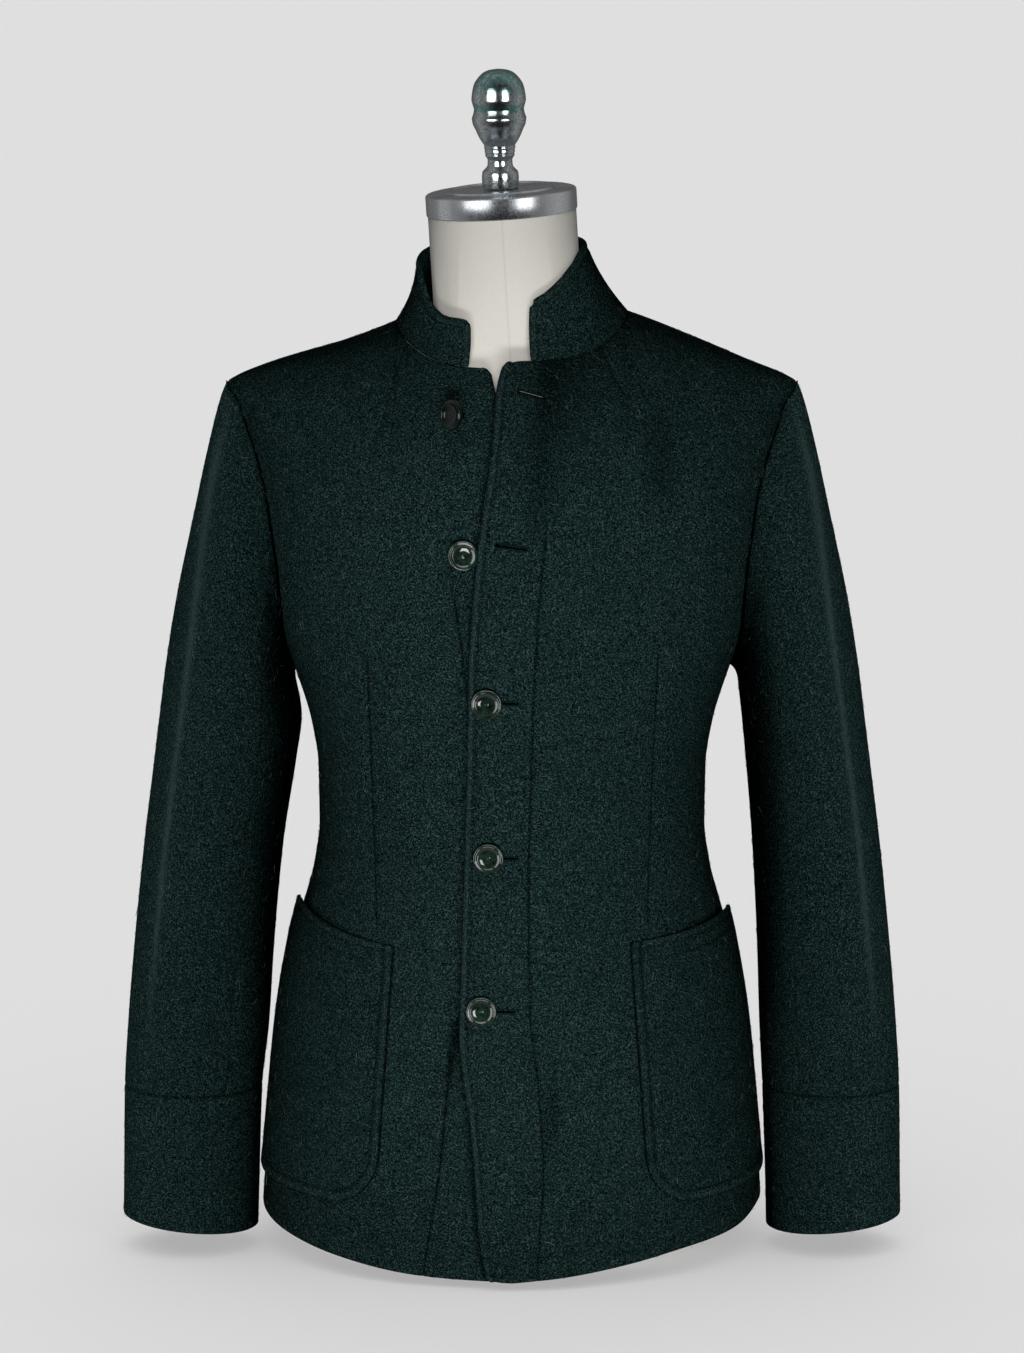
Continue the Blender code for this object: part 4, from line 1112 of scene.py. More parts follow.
class Finish:
    """A material and short ways to add nodes to it. A linked input hides its plain value."""

    def __init__(self, name, colour, roughness, **settings):
        self.material = bpy.data.materials.new(name)
        self.material.use_nodes = True
        self.tree = self.material.node_tree
        self.shader = self.tree.nodes["Principled BSDF"]
        self.shader.inputs["Base Color"].default_value = (*colour, 1)
        self.shader.inputs["Roughness"].default_value = roughness
        for name, value in settings.items():
            self.shader.inputs[name.replace("_", " ")].default_value = value

    def add(self, kind, **values):
        """A node whose inputs, named or numbered, are set or linked, and whose settings are set."""
        node = self.tree.nodes.new("ShaderNode" + kind)
        for name, value in values.items():
            if hasattr(node, name):
                setattr(node, name, value)
        for name, value in values.items():
            if hasattr(node, name):
                continue
            key = int(name[1:]) if name[1:].isdigit() else name.replace("_", " ")
            feed(self.tree, node.inputs[key], value)
        return node

    def math(self, operation, *values):
        return self.add(
            "Math", operation=operation, **{f"i{i}": value for i, value in enumerate(values)}
        ).outputs[0]

    def vector(self, operation, *values):
        node = self.add(
            "VectorMath", operation=operation, **{f"i{i}": v for i, v in enumerate(values)}
        )
        return node.outputs["Value" if operation in ("DOT_PRODUCT", "LENGTH") else "Vector"]

    def noise(self, place, scale, detail=2.0, roughness=0.5):
        return self.add(
            "TexNoise", Vector=place, Scale=scale, Detail=detail, Roughness=roughness
        ).outputs["Fac"]

    def mix(self, share, first, second):
        return self.add("Mix", data_type="RGBA", i0=share, i6=first, i7=second).outputs[2]

    def layered(self, colour, *layers):
        """Makes the base colour by mixing each layer's colour in, by its share."""
        colour = (*colour, 1)
        for share, tone in layers:
            colour = self.mix(share, colour, (*tone, 1))
        self.link(colour, "Base Color")

    def remap(self, value, low, high, to_low=0.0, to_high=1.0):
        return self.add(
            "MapRange", Value=value, From_Min=low, From_Max=high, To_Min=to_low, To_Max=to_high
        ).outputs[0]

    def link(self, output, name):
        self.tree.links.new(output, self.shader.inputs[name])

    def bump(self, height, strength, distance):
        node = self.add("Bump", Height=height, Strength=strength, Distance=distance)
        self.link(node.outputs[0], "Normal")


TWILL_PITCH = 0.0027
TWILL_TURN = math.radians(62)
# Direction in degrees and noise seed of each lot of brushed strokes, and strokes per metre
STROKES = ((18, 3.1), (71, 7.7), (128, 12.9), (156, 21.3))
STROKES_ALONG = 260
STROKES_ACROSS = 1700


def wool_finish():
    """Brushed twill: painted shade where the painted light is over 0; wear and painted highlight
    under.
    """
    wool = Finish("felted wool twill", (0.0085, 0.0175, 0.0170), 0.95, Specular_IOR_Level=0.0)
    place = wool.add("UVMap", uv_map="cloth").outputs[0]
    wander = wool.noise(place, 260.0, 2.0)
    along = wool.vector(
        "DOT_PRODUCT", place,
        (math.cos(TWILL_TURN) / TWILL_PITCH, math.sin(TWILL_TURN) / TWILL_PITCH, 0),
    )
    phase = wool.math("ADD", along, wool.math("MULTIPLY", wander, 1.6))
    twill = wool.math("SINE", wool.math("MULTIPLY", phase, 2 * math.pi))
    spot = wool.add("TexCoord").outputs["Object"]
    felt = wool.noise(spot, 820.0, 2.0, 0.7)
    tufts = wool.noise(wool.vector("ADD", spot, (3.1, 5.7, 2.3)), 900.0, 1.0, 0.5)
    cloud = wool.noise(spot, 34.0, 3.0, 0.6)
    bends = wool.add("TexNoise", Vector=place, Scale=170.0).outputs["Color"]
    bent = wool.vector("MULTIPLY_ADD", bends, (0.006, 0.006, 0), place)
    strokes = None
    for turn, seed in STROKES:
        cosine, sine = math.cos(math.radians(turn)), math.sin(math.radians(turn))
        along = (cosine * STROKES_ALONG, sine * STROKES_ALONG, 0)
        across = (-sine * STROKES_ACROSS, cosine * STROKES_ACROSS, 0)
        u, v = (wool.vector("DOT_PRODUCT", bent, way) for way in (along, across))
        line = wool.add("CombineXYZ", X=u, Y=v, Z=seed).outputs[0]
        stroke = wool.remap(wool.noise(line, 1.0, 0.0), 0.66, 0.78)
        strokes = stroke if strokes is None else wool.math("MAXIMUM", strokes, stroke)
    # The shade and highlight painted on each piece, partly wear
    dip = wool.add("Attribute", attribute_name="dip").outputs["Fac"]
    broken = wool.remap(wool.noise(spot, 420.0, 2.0), 0.35, 0.60, 0.60, 1.0)
    # Paler rolled edges, partly wear and partly painted highlight, and the highlight painted down
    # the sleeves
    wear_and_highlight = wool.math("MULTIPLY", wool.math("MAXIMUM", wool.math("MULTIPLY", dip, -1.0), 0.0), 0.42)
    wool.layered(
        (0.0003, 0.0014, 0.0015),
        (wool.remap(felt, 0.46, 0.565), (0.0150, 0.0415, 0.0410)),
        (wool.remap(twill, -1.0, 1.0, 0.0, 0.30), (0.0095, 0.0270, 0.0268)),
        (wool.remap(tufts, 0.56, 0.62, 0.0, 0.90), (0.0680, 0.1420, 0.1380)),
        (wool.remap(cloud, 0.3, 0.7, 0.0, 0.14), (0.0055, 0.0145, 0.0145)),
        (wool.math("MULTIPLY", strokes, 0.45), (0.044, 0.078, 0.076)),
        (wool.math("MULTIPLY", wear_and_highlight, broken), (0.0820, 0.1500, 0.1420)),
        # Painted shade in the seams, folds and shaded places, broken up by the nap
        (
            wool.math("MULTIPLY", wool.remap(dip, 0.0, 1.0, 0.0, 0.85), broken),
            (0.0006, 0.0016, 0.0016),
        ),
    )
    height = wool.math("ADD", wool.math("MULTIPLY", twill, 0.22), wool.math("MULTIPLY", felt, 1.3))
    wool.bump(wool.math("ADD", height, wool.math("MULTIPLY", strokes, 0.4)), 0.8, 0.0009)
    return wool.material


def fibre_finish():
    fibre = Finish("stray wool fibre", (0.05, 0.07, 0.067), 0.8, Specular_IOR_Level=0.0)
    tone = fibre.add("Attribute", attribute_name="tone").outputs["Fac"]
    bright = fibre.math("POWER", tone, 3.0)
    fibre.layered((0.020, 0.038, 0.036), (bright, (0.300, 0.360, 0.345)))
    return fibre.material


def plain_finish(name, colour):
    return Finish(name, colour, 0.9, Specular_IOR_Level=0.0).material


def linen_finish():
    linen = Finish("tight off-white cloth", (0.72, 0.69, 0.63), 0.85, Specular_IOR_Level=0.1)
    place = linen.add("TexCoord").outputs["Object"]
    threads = linen.noise(place, 1300.0, 3.0, 0.7)
    cloud = linen.noise(place, 18.0, 2.0)
    # The seam down the middle of the neck's cloth
    lean = math.tan(math.radians(NECK_LEAN))
    across = linen.vector("DOT_PRODUCT", linen.vector("SUBTRACT", place, NECK_TOP), (1, 0, lean))
    seam = linen.remap(linen.math("ABSOLUTE", across), 0.0002, 0.0010, 1.0, 0.0)
    linen.layered(
        (0.70, 0.675, 0.62),
        (linen.remap(threads, 0.3, 0.7), (0.78, 0.76, 0.70)),
        (linen.remap(cloud, 0.3, 0.7, 0, 0.35), (0.68, 0.655, 0.59)),
        (linen.math("MULTIPLY", seam, 0.16), (0.36, 0.34, 0.30)),
    )
    linen.bump(linen.math("SUBTRACT", threads, linen.math("MULTIPLY", seam, 1.5)), 0.4, 0.0003)
    return linen.material


def horn_finish(name="polished dark green button", glow=1.0, shine=1.0):
    """Clouded horn. Its pale clouds fade with the glow, and its gloss with the shine; both low give
    a copy painted as in shade.
    """
    horn = Finish(
        name, (0.0040, 0.0170, 0.0115), 0.10,
        Specular_IOR_Level=0.5 * shine, Coat_Weight=0.8 * shine, Coat_Roughness=0.04,
    )
    place = horn.add("TexCoord").outputs["Object"]
    cloud = horn.remap(horn.noise(place, 220.0, 3.0, 0.6), 0.35, 0.68, 0.0, glow)
    horn.layered((0.0030, 0.0100, 0.0065), (cloud, (0.0240, 0.0620, 0.0400)))
    horn.bump(horn.noise(place, 900.0, 2.0), 0.05, 0.0002)
    return horn.material


def aluminium_finish():
    metal = Finish("brushed aluminium", (0.48, 0.50, 0.52), 0.34, Metallic=1.0)
    place = metal.add("TexCoord").outputs["Object"]
    spoke = metal.vector("SUBTRACT", place, (NECK_TOP[0], NECK_TOP[1], 0))
    spoke = metal.vector("MULTIPLY", spoke, (1, 1, 0))
    away = metal.vector("LENGTH", spoke)
    rings = metal.add("TexNoise", noise_dimensions="1D", W=away, Scale=2600.0, Detail=3.0)
    streaks = metal.noise(metal.vector("NORMALIZE", spoke), 3.5, 2.0, 0.5)
    grain = metal.noise(place, 900.0, 2.0)
    metal.link(metal.remap(grain, 0.35, 0.65, 0.22, 0.34), "Roughness")
    metal.layered(
        (0.42, 0.44, 0.465),
        (metal.remap(streaks, 0.40, 0.60), (0.58, 0.60, 0.62)),
        (metal.remap(grain, 0.35, 0.65, 0.0, 0.35), (0.30, 0.32, 0.34)),
    )
    metal.bump(rings.outputs["Fac"], 0.30, 0.0002)
    return metal.material


def lacquer_finish():
    """Speckled bright metal, greener on its top and in its groove."""
    lacquer = Finish("speckled silver lacquer", (0.30, 0.33, 0.34), 0.26, Metallic=1.0)
    place = lacquer.add("TexCoord").outputs["Object"]
    speckle = lacquer.noise(place, 1150.0, 2.0, 0.6)
    patch = lacquer.noise(place, 260.0, 3.0, 0.6)
    height = lacquer.vector("DOT_PRODUCT", place, (0, 0, 1))
    top = lacquer.remap(height, 0.8930, 0.9010)
    waist = lacquer.math("ABSOLUTE", lacquer.math("SUBTRACT", height, 0.8845))
    green = lacquer.math("MAXIMUM", top, lacquer.remap(waist, 0.0020, 0.0042, 1.0, 0.0))
    green = lacquer.math("MULTIPLY", green, lacquer.remap(patch, 0.42, 0.58, 0.25, 1.0))
    lacquer.layered(
        (0.140, 0.175, 0.180),
        (lacquer.remap(speckle, 0.36, 0.60), (0.480, 0.515, 0.525)),
        (lacquer.math("MULTIPLY", green, 0.75), (0.020, 0.230, 0.200)),
    )
    lacquer.link(lacquer.remap(speckle, 0.3, 0.7, 0.10, 0.24), "Roughness")
    lacquer.bump(speckle, 0.22, 0.0003)
    return lacquer.material


# ---------------------------------------------------------------- turned pieces

NECK_TOP = (-0.0075, -0.0060, 0.8055)
NECK_LEAN = 3.5             # degrees, to the wearer's right
FINIAL_LEAN = 1.2
FINIAL_FOOT = 0.0128
SHANK_RADIUS = 0.0026

# Middle on the cloth, the front that carries it, turn to the side, shank and gap to the cloth
BUTTONS = (
    ("button_1", -0.0350, 0.6660, RIGHT, 40.0, 0.0086, 0.0000),
    ("button_2", -0.0355, 0.5650, RIGHT, 0.0, 0.0012, 0.0004),
    ("button_3", -0.0190, 0.4530, LEFT, 0.0, 0.0012, 0.0004),
    ("button_4", -0.0176, 0.3340, LEFT, 0.0, 0.0012, 0.0005),
    ("button_5", -0.0230, 0.2180, LEFT, 0.0, 0.0012, 0.0004),
)

# Radius and height from the axis at the top down to the axis again
BUTTON_PROFILE = (
    (0.0000, 0.0029),
    (0.0006, 0.0028),
    (0.0010, 0.0024),
    (0.0018, 0.0023),
    (0.0045, 0.0024),
    (0.0068, 0.0028),
    (0.0080, 0.0036),
    (0.0087, 0.0042),
    (0.0093, 0.0043),
    (0.0097, 0.0040),
    (0.0100, 0.0041),
    (0.0105, 0.0041),
    (0.0111, 0.0036),
    (0.0115, 0.0028),
    (0.0114, 0.0021),
    (0.0107, 0.0010),
    (0.0096, 0.0003),
    (0.0026, 0.0000),
)
CAP_PROFILE = (
    (0.0000, 0.0172),
    (0.0378, 0.0172),
    (0.0386, 0.0175),
    (0.0394, 0.0184),
    (0.0400, 0.0186),
    (0.0408, 0.0186),
    (0.0414, 0.0183),
    (0.0422, 0.0172),
    (0.0430, 0.0169),
    (0.0546, 0.0165),
    (0.0558, 0.0161),
    (0.0567, 0.0154),
    (0.0570, 0.0145),
    (0.0570, 0.0012),
    (0.0566, 0.0003),
    (0.0556, 0.0000),
    (0.0000, 0.0000),
)
FINIAL_PROFILE = (
    (0.0000, 0.0894),
    (0.0062, 0.0886),
    (0.0110, 0.0868),
    (0.0154, 0.0827),
    (0.0186, 0.0775),
    (0.0200, 0.0712),
    (0.0205, 0.0666),
    (0.0197, 0.0629),
    (0.0188, 0.0593),
    (0.0195, 0.0556),
    (0.0205, 0.0525),
    (0.0199, 0.0484),
    (0.0180, 0.0442),
    (0.0162, 0.0400),
    (0.0140, 0.0359),
    (0.0121, 0.0330),
    (0.0115, 0.0318),
    (0.0119, 0.0306),
    (0.0113, 0.0294),
    (0.0114, 0.0272),
    (0.0108, 0.0262),
    (0.0112, 0.0250),
    (0.0104, 0.0236),
    (0.0093, 0.0213),
    (0.0096, 0.0172),
    (0.0115, 0.0146),
    (0.0135, 0.0122),
    (0.0139, 0.0078),
    (0.0137, 0.0026),
    (0.0128, 0.0000),
    (0.0000, 0.0000),
)


def smoothed(profile, count):
    """More points along a profile's curve, for a turned piece without flats."""
    steps = range(len(profile))
    rows = [(step, radius, height) for step, (radius, height) in zip(steps, profile)]
    table = Table(("step", "radius", "height"), rows)
    fine = np.linspace(0, len(profile) - 1, count)
    return list(zip(table.at("radius", fine), table.at("height", fine)))


def turned(name, profile, steps, place, finish, sharp=40):
    """A closed turned piece, its profile's top at the start, set by a matrix."""
    ring = [(radius, height) for radius, height in profile if radius > 1e-6]
    turns = [2 * math.pi * k / steps for k in range(steps)]
    points = [(0, 0, profile[0][1])]
    for radius, height in ring:
        points += [(radius * math.cos(turn), radius * math.sin(turn), height) for turn in turns]
    points.append((0, 0, profile[-1][1]))
    last = len(points) - 1
    faces = []
    for k in range(steps):
        nxt = (k + 1) % steps
        faces.append((0, 1 + k, 1 + nxt))
        for i in range(len(ring) - 1):
            top, low = 1 + i * steps, 1 + (i + 1) * steps
            faces.append((top + k, low + k, low + nxt, top + nxt))
        base = 1 + (len(ring) - 1) * steps
        faces.append((base + k, last, base + nxt))
    data = bpy.data.meshes.new(name)
    data.from_pydata(points, [], faces)
    data.transform(place)
    data.materials.append(finish)
    data.shade_smooth()
    data.set_sharp_from_angle(angle=math.radians(sharp))
    return in_scene(name, data)


def aim(normal, origin):
    turn = normal.to_track_quat("Z", "Y").to_matrix().to_4x4()
    return Matrix.Translation(origin) @ turn


def build_buttons(finish, shaded_horn):
    step = 0.002
    for name, x, height, side, yaw, shank, gap in BUTTONS:

        def at(x, height, side=side):
            return Vector(front_point(side, girth_of(x, height), height))

        across = at(x + step, height) - at(x - step, height)
        up = at(x, height + step) - at(x, height - step)
        normal = across.cross(up).normalized()
        axis = Matrix.Rotation(math.radians(-yaw), 3, "Z") @ normal
        if yaw:
            # It hangs upright as the camera sees it
            axis.z = -axis.y * math.tan(CAMERA_ELEVATION)
            axis.normalize()
        foot = at(x, height) + normal * gap
        foot += axis * SHANK_RADIUS * math.tan(axis.angle(normal))
        profile = [(radius, height + shank) for radius, height in BUTTON_PROFILE]
        profile += [(SHANK_RADIUS, 0.0), (0.0, 0.0)]
        # A turned-away button takes the copy of the horn painted as in shade
        piece = turned(name + "_polished", profile, 48, aim(axis, foot), shaded_horn if yaw else finish)
        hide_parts(name)
        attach(piece, "root")


def build_cap_and_finial(metal, lacquer):
    lean = Matrix.Rotation(math.radians(-NECK_LEAN), 4, "Y")
    seat = Matrix.Translation(NECK_TOP) @ lean @ Matrix.Translation((0, 0, SEAM_GAP))
    cap = turned("neck_cap_brushed", CAP_PROFILE, 96, seat, metal, sharp=30)
    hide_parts("neck_cap")
    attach(cap, "root")
    top = seat @ Vector((0, 0, CAP_PROFILE[0][1]))
    rise = FINIAL_FOOT * math.tan(math.radians(NECK_LEAN - FINIAL_LEAN)) + SEAM_GAP
    stand = Matrix.Translation(top + Vector((0, 0, rise)))
    tip = Matrix.Rotation(math.radians(-FINIAL_LEAN), 4, "Y")
    profile = smoothed(FINIAL_PROFILE, 150)
    finial = turned("finial_lacquered", profile, 56, stand @ tip, lacquer, sharp=60)
    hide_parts("finial")
    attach(finial, "root")


def build_form(finish):
    """The form's own shape, shaded round."""
    mesh = bmesh.new()
    mesh.from_mesh(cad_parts["form_body"].data)
    bmesh.ops.remove_doubles(mesh, verts=mesh.verts, dist=0.00002)
    data = bpy.data.meshes.new("form_linen")
    mesh.to_mesh(data)
    mesh.free()
    data.transform(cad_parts["form_body"].matrix_world)
    data.materials.clear()
    data.materials.append(finish)
    data.polygons.foreach_set("material_index", [0] * len(data.polygons))
    data.shade_smooth()
    data.set_sharp_from_angle(angle=math.radians(40))
    form = in_scene("form_linen", data)
    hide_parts("form_body")
    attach(form, "root")


# ---------------------------------------------------------------- the coat's pieces


def flat_size(grid, closed=False):
    """Width, length and area of a cut piece laid flat, in metres."""
    if closed:
        grid = np.concatenate((grid, grid[:, :1]), axis=1)
    width = distances(grid, 1)[:, -1].max()
    length = distances(grid, 0)[-1].max()
    first = np.cross(grid[:-1, 1:] - grid[:-1, :-1], grid[1:, :-1] - grid[:-1, :-1])
    second = np.cross(grid[:-1, 1:] - grid[1:, 1:], grid[1:, :-1] - grid[1:, 1:])
    area = (np.linalg.norm(first, axis=-1) + np.linalg.norm(second, axis=-1)).sum() / 2
    return width, length, min(area, width * length)


def cloth_piece(name, sheet, finish, closed=False):
    piece = wall(name + "_cloth", sheet.outer, sheet.inner, finish, sheet.flat, sheet.dip, closed)
    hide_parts(name)
    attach(piece, "root")
    width, length, area = flat_size(sheet.outer, closed)
    SHEETS[name] = sheet
    CLOTHS.append(piece)


SHEETS = {}
CLOTHS = []


def build_coat(finish):
    for side, word in ((RIGHT, "right"), (LEFT, "left")):
        free, seam, outer = front_edges(side)

        def middle(height, side=side):
            return side * 180.0 + 0 * height

        def back_outer(height, side=side):
            return side * armhole_girth(height, "back")

        panels = (
            ("front_", "front", seam, outer, CLOTH, 0.0026, (0, -1), ()),
            ("band_", "front", free, seam, BAND_CLOTH, 0.0018, (-1,), (EDGE_STITCH,)),
            ("back_", "back", middle, back_outer, CLOTH, 0.0036, (0, -1), ()),
        )
        for start, face, inner, out, thickness, coarse, seams, near in panels:
            name = start + word
            sheet = body_piece(name, face, side, inner, out, thickness, coarse, seams, near)
            cloth_piece(name, sheet, finish)
        for piece, sheet in sleeve_pieces(side, 0.0028).items():
            cloth_piece(f"{piece}_{word}", sheet, finish, piece == "cuff")
        cloth_piece("pocket_" + word, pocket_piece(side, 0.0018), finish)
    cloth_piece("collar", collar_piece(), finish)


# ---------------------------------------------------------------- stitches and fibres


class Tree:
    """A Geometry Nodes tree with named inputs, and a short way to add nodes to it."""

    def __init__(self, name, inputs):
        self.tree = bpy.data.node_groups.new(name, "GeometryNodeTree")
        sockets = self.tree.interface
        sockets.new_socket("Geometry", in_out="OUTPUT", socket_type="NodeSocketGeometry")
        sockets.new_socket("Geometry", in_out="INPUT", socket_type="NodeSocketGeometry")
        for label, kind in inputs:
            sockets.new_socket(label, in_out="INPUT", socket_type="NodeSocket" + kind)
        self.given = self.tree.nodes.new("NodeGroupInput").outputs
        self.end = self.tree.nodes.new("NodeGroupOutput")

    def add(self, kind, values=(), **settings):
        """A node with its settings made and its enabled inputs, by name, set or linked."""
        node = self.tree.nodes.new(kind)
        for name, value in settings.items():
            setattr(node, name, value)
        sockets = {socket.name: socket for socket in reversed(node.inputs) if socket.enabled}
        for name, value in dict(values).items():
            feed(self.tree, sockets[name], value)
        return next(socket for socket in node.outputs if socket.enabled)

    def times(self, value, factor):
        product = self.add("ShaderNodeMath", {"Value": value}, operation="MULTIPLY")
        product.node.inputs[1].default_value = factor
        return product

    def attribute(self, name, kind):
        return self.add("GeometryNodeInputNamedAttribute", {"Name": name}, data_type=kind)

    def close(self, geometry):
        real = self.add("GeometryNodeRealizeInstances", {"Geometry": geometry})
        smooth = self.add("GeometryNodeSetShadeSmooth", {"Geometry": real})
        done = self.add(
            "GeometryNodeSetMaterial", {"Geometry": smooth, "Material": self.given["Material"]}
        )
        self.tree.links.new(done, self.end.inputs[0])
        return self.tree


def stitch_tree():
    """Threads laid end to end along a line of points that say which way is out."""
    tree = Tree("stitches", (
        ("Pitch", "Float"), ("Length", "Float"), ("Width", "Float"), ("Material", "Material"),
    ))
    curve = tree.add("GeometryNodeMeshToCurve", {"Mesh": tree.given["Geometry"]})
    spots = tree.add(
        "GeometryNodeResampleCurve", {"Curve": curve, "Length": tree.given["Pitch"]}, mode="LENGTH"
    )
    out = tree.attribute("out", "FLOAT_VECTOR")
    along = tree.attribute("along", "FLOAT_VECTOR")
    turn = tree.add(
        "FunctionNodeAxesToRotation", {"Primary Axis": along, "Secondary Axis": out},
        primary_axis="X", secondary_axis="Z",
    )
    half = [tree.times(tree.given[name], 0.5) for name in ("Length", "Width")]
    size = tree.add("ShaderNodeCombineXYZ", {"X": half[0], "Y": half[1], "Z": half[1]})
    ball = tree.add("GeometryNodeMeshUVSphere", {"Segments": 6, "Rings": 5, "Radius": 1.0})
    thread = tree.add("GeometryNodeTransform", {"Geometry": ball, "Scale": size})
    placed = tree.add(
        "GeometryNodeInstanceOnPoints", {"Points": spots, "Instance": thread, "Rotation": turn}
    )
    return tree.close(placed)


def fibre_tree():
    """Short bent hairs scattered over a piece's outer side."""
    tree = Tree("fibres", (
        ("Density", "Float"), ("Length", "Float"), ("Width", "Float"), ("Lift", "Float"),
        ("Seed", "Int"), ("Material", "Material"),
    ))
    outside = tree.attribute("outside", "FLOAT")
    where = tree.add("FunctionNodeCompare", {"A": outside, "B": 0.9}, operation="GREATER_THAN")
    spots = tree.add("GeometryNodeDistributePointsOnFaces", {
        "Mesh": tree.given["Geometry"], "Selection": where,
        "Density": tree.given["Density"], "Seed": tree.given["Seed"],
    })
    spread = spots.node.outputs["Rotation"]

    radius = tree.times(tree.given["Width"], 0.5)
    ring = tree.add("GeometryNodeCurvePrimitiveCircle", {"Resolution": 3, "Radius": radius})
    kinds = tree.add("GeometryNodeJoinGeometry")
    join = kinds.node
    for start_x, bend, end_lift in ((-0.5, 0.12, 0.35), (-0.46, 0.30, 1.0), (-0.5, -0.20, 0.15)):
        ends = []
        for x, y, z in ((start_x, 0.0, 0.0), (0.0, bend, 1.0), (-start_x, 0.0, end_lift)):
            ends.append(tree.add("ShaderNodeCombineXYZ", {
                "X": tree.times(tree.given["Length"], x),
                "Y": tree.times(tree.given["Length"], y),
                "Z": tree.times(tree.given["Lift"], z),
            }))
        line = tree.add("GeometryNodeCurveQuadraticBezier", {
            "Resolution": 3, "Start": ends[0], "Middle": ends[1], "End": ends[2],
        })
        hair = tree.add("GeometryNodeCurveToMesh", {"Curve": line, "Profile Curve": ring})
        kept = tree.add("GeometryNodeGeometryToInstance", {"Geometry": hair})
        tree.tree.links.new(kept, join.inputs[0])

    def chance(low, high, seed, kind):
        values = {"Min": low, "Max": high, "Seed": seed}
        return tree.add("FunctionNodeRandomValue", values, data_type=kind)

    spin = tree.add("FunctionNodeEulerToRotation", {
        "Euler": chance((-0.10, -0.10, 0.0), (0.10, 0.10, 6.283), 11, "FLOAT_VECTOR")
    })
    turn = tree.add(
        "FunctionNodeRotateRotation", {"Rotation": spread, "Rotate By": spin},
        rotation_space="LOCAL",
    )
    placed = tree.add("GeometryNodeInstanceOnPoints", {
        "Points": spots, "Instance": kinds, "Pick Instance": True,
        "Instance Index": chance(0, 2, 12, "INT"), "Rotation": turn,
        "Scale": chance((0.35, 0.35, 0.7), (1.6, 1.6, 1.3), 13, "FLOAT_VECTOR"),
    })
    toned = tree.add("GeometryNodeStoreNamedAttribute", {
        "Geometry": placed, "Name": "tone", "Value": chance(0.0, 1.0, 14, "FLOAT"),
    }, data_type="FLOAT", domain="INSTANCE")
    return tree.close(toned)


def grown(name, base, tree, values):
    """What a tree makes from a base object, as a plain mesh object at the origin."""
    modifier = base.modifiers.new(name, "NODES")
    modifier.node_group = tree
    for item in tree.interface.items_tree:
        if item.in_out == "INPUT" and item.name in values:
            modifier[item.identifier] = values[item.name]
    graph = bpy.context.evaluated_depsgraph_get()
    data = bpy.data.meshes.new_from_object(base.evaluated_get(graph), depsgraph=graph)
    base.modifiers.remove(modifier)
    data.name = name
    piece = in_scene(name, data)
    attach(piece, "root")
    return piece


def stitched(
    name, path, sheet, finish, tree,
    pitch=0.0036, length=0.0029, width=0.0006, lift=0.0001, across=False,
):
    """A row of stitches along a line on a sheet, or of threads across that line."""
    path = in_between(np.asarray(path, float), 0.0012)
    path, out = laid_on(path, sheet.outer, sheet.normals, lift)
    along = unit(np.gradient(path, axis=0))
    if across:
        along = np.cross(along, out)
    data = bpy.data.meshes.new(name + "_line")
    data.from_pydata(path.tolist(), [(i, i + 1) for i in range(len(path) - 1)], [])
    for label, vectors in (("out", out), ("along", along)):
        data.attributes.new(label, "FLOAT_VECTOR", "POINT").data.foreach_set(
            "vector", vectors.astype(np.float32).ravel()
        )
    line = in_scene(name + "_line", data)
    values = {"Pitch": pitch, "Length": length, "Width": width, "Material": finish}
    piece = grown(name, line, tree, values)
    bpy.data.objects.remove(line)
    return piece


def at_distance(points, field, value, axis):
    """The line on a sheet where a distance field, rising along an axis, has one value."""
    if axis == 0:
        points, field = points.swapaxes(0, 1), field.T
    return np.array([
        [np.interp(value, line, row[:, k]) for k in range(3)] for row, line in zip(points, field)
    ])


def inset_line(border, sheet, distance):
    """A border line moved in across its sheet, without the loops that corners make."""
    spots, out = laid_on(border, sheet.outer, sheet.normals, 0.0)
    side = np.cross(out, unit(np.gradient(spots, axis=0)))
    middle = sheet.outer.reshape(-1, 3).mean(axis=0)
    if np.median(((middle - spots) * side).sum(axis=1)) < 0:
        side = -side
    moved = spots + side * distance
    return moved[distance_to(moved, border) > 0.985 * distance]


def build_stitches(thread, light_thread, shadow):
    tree = stitch_tree()
    for word in ("right", "left"):
        band = SHEETS["band_" + word].outer
        start = distances(band, 1)
        edge = at_distance(band, start, EDGE_STITCH, 1)[6:]
        stitched("edge_stitches_" + word, edge, SHEETS["band_" + word], thread, tree)
        pocket = SHEETS["pocket_" + word]
        sides = (pocket.outer[::-1, 0], pocket.outer[0], pocket.outer[:, -1])
        rim = inset_line(in_between(np.concatenate(sides)), pocket, POCKET_STITCH)
        stitched("pocket_stitches_" + word, rim, pocket, thread, tree)
        down = distances(pocket.outer, 0)
        down = down[-1:] - down
        for k, depth in enumerate(MOUTH_STITCHES):
            line = at_distance(pocket.outer[::-1], down[::-1], depth, 0)[4:-4]
            stitched(f"mouth_stitches_{word}_{k + 1}", line, pocket, thread, tree)
    collar = SHEETS["collar"]
    sides = (collar.outer[1:, 0], collar.outer[-1], collar.outer[:0:-1, -1])
    rim = inset_line(in_between(np.concatenate(sides)), collar, COLLAR_STITCH)
    stitched("collar_stitches", rim, collar, thread, tree)
    build_buttonholes(thread, light_thread, shadow, tree)


# Ends of each buttonhole on the left band, as distance from the middle and height
BUTTONHOLES = (
    ("buttonhole_1", (0.0040, 0.6843), (0.0255, 0.6788)),
    ("buttonhole_2", (-0.0125, 0.5742), (0.0115, 0.5698)),
    ("buttonhole_3", (-0.0175, 0.4530), (0.0052, 0.4524)),
    ("buttonhole_4", (-0.0165, 0.3335), (0.0048, 0.3334)),
    ("buttonhole_5", (-0.0215, 0.2175), (0.0022, 0.2178)),
)
BASTING = ((0.0075, 0.6836), (0.0205, 0.6803))  # ends of the pale thread in the top one
SLIT_HALF = 0.0007
KEYHOLE = 0.0014


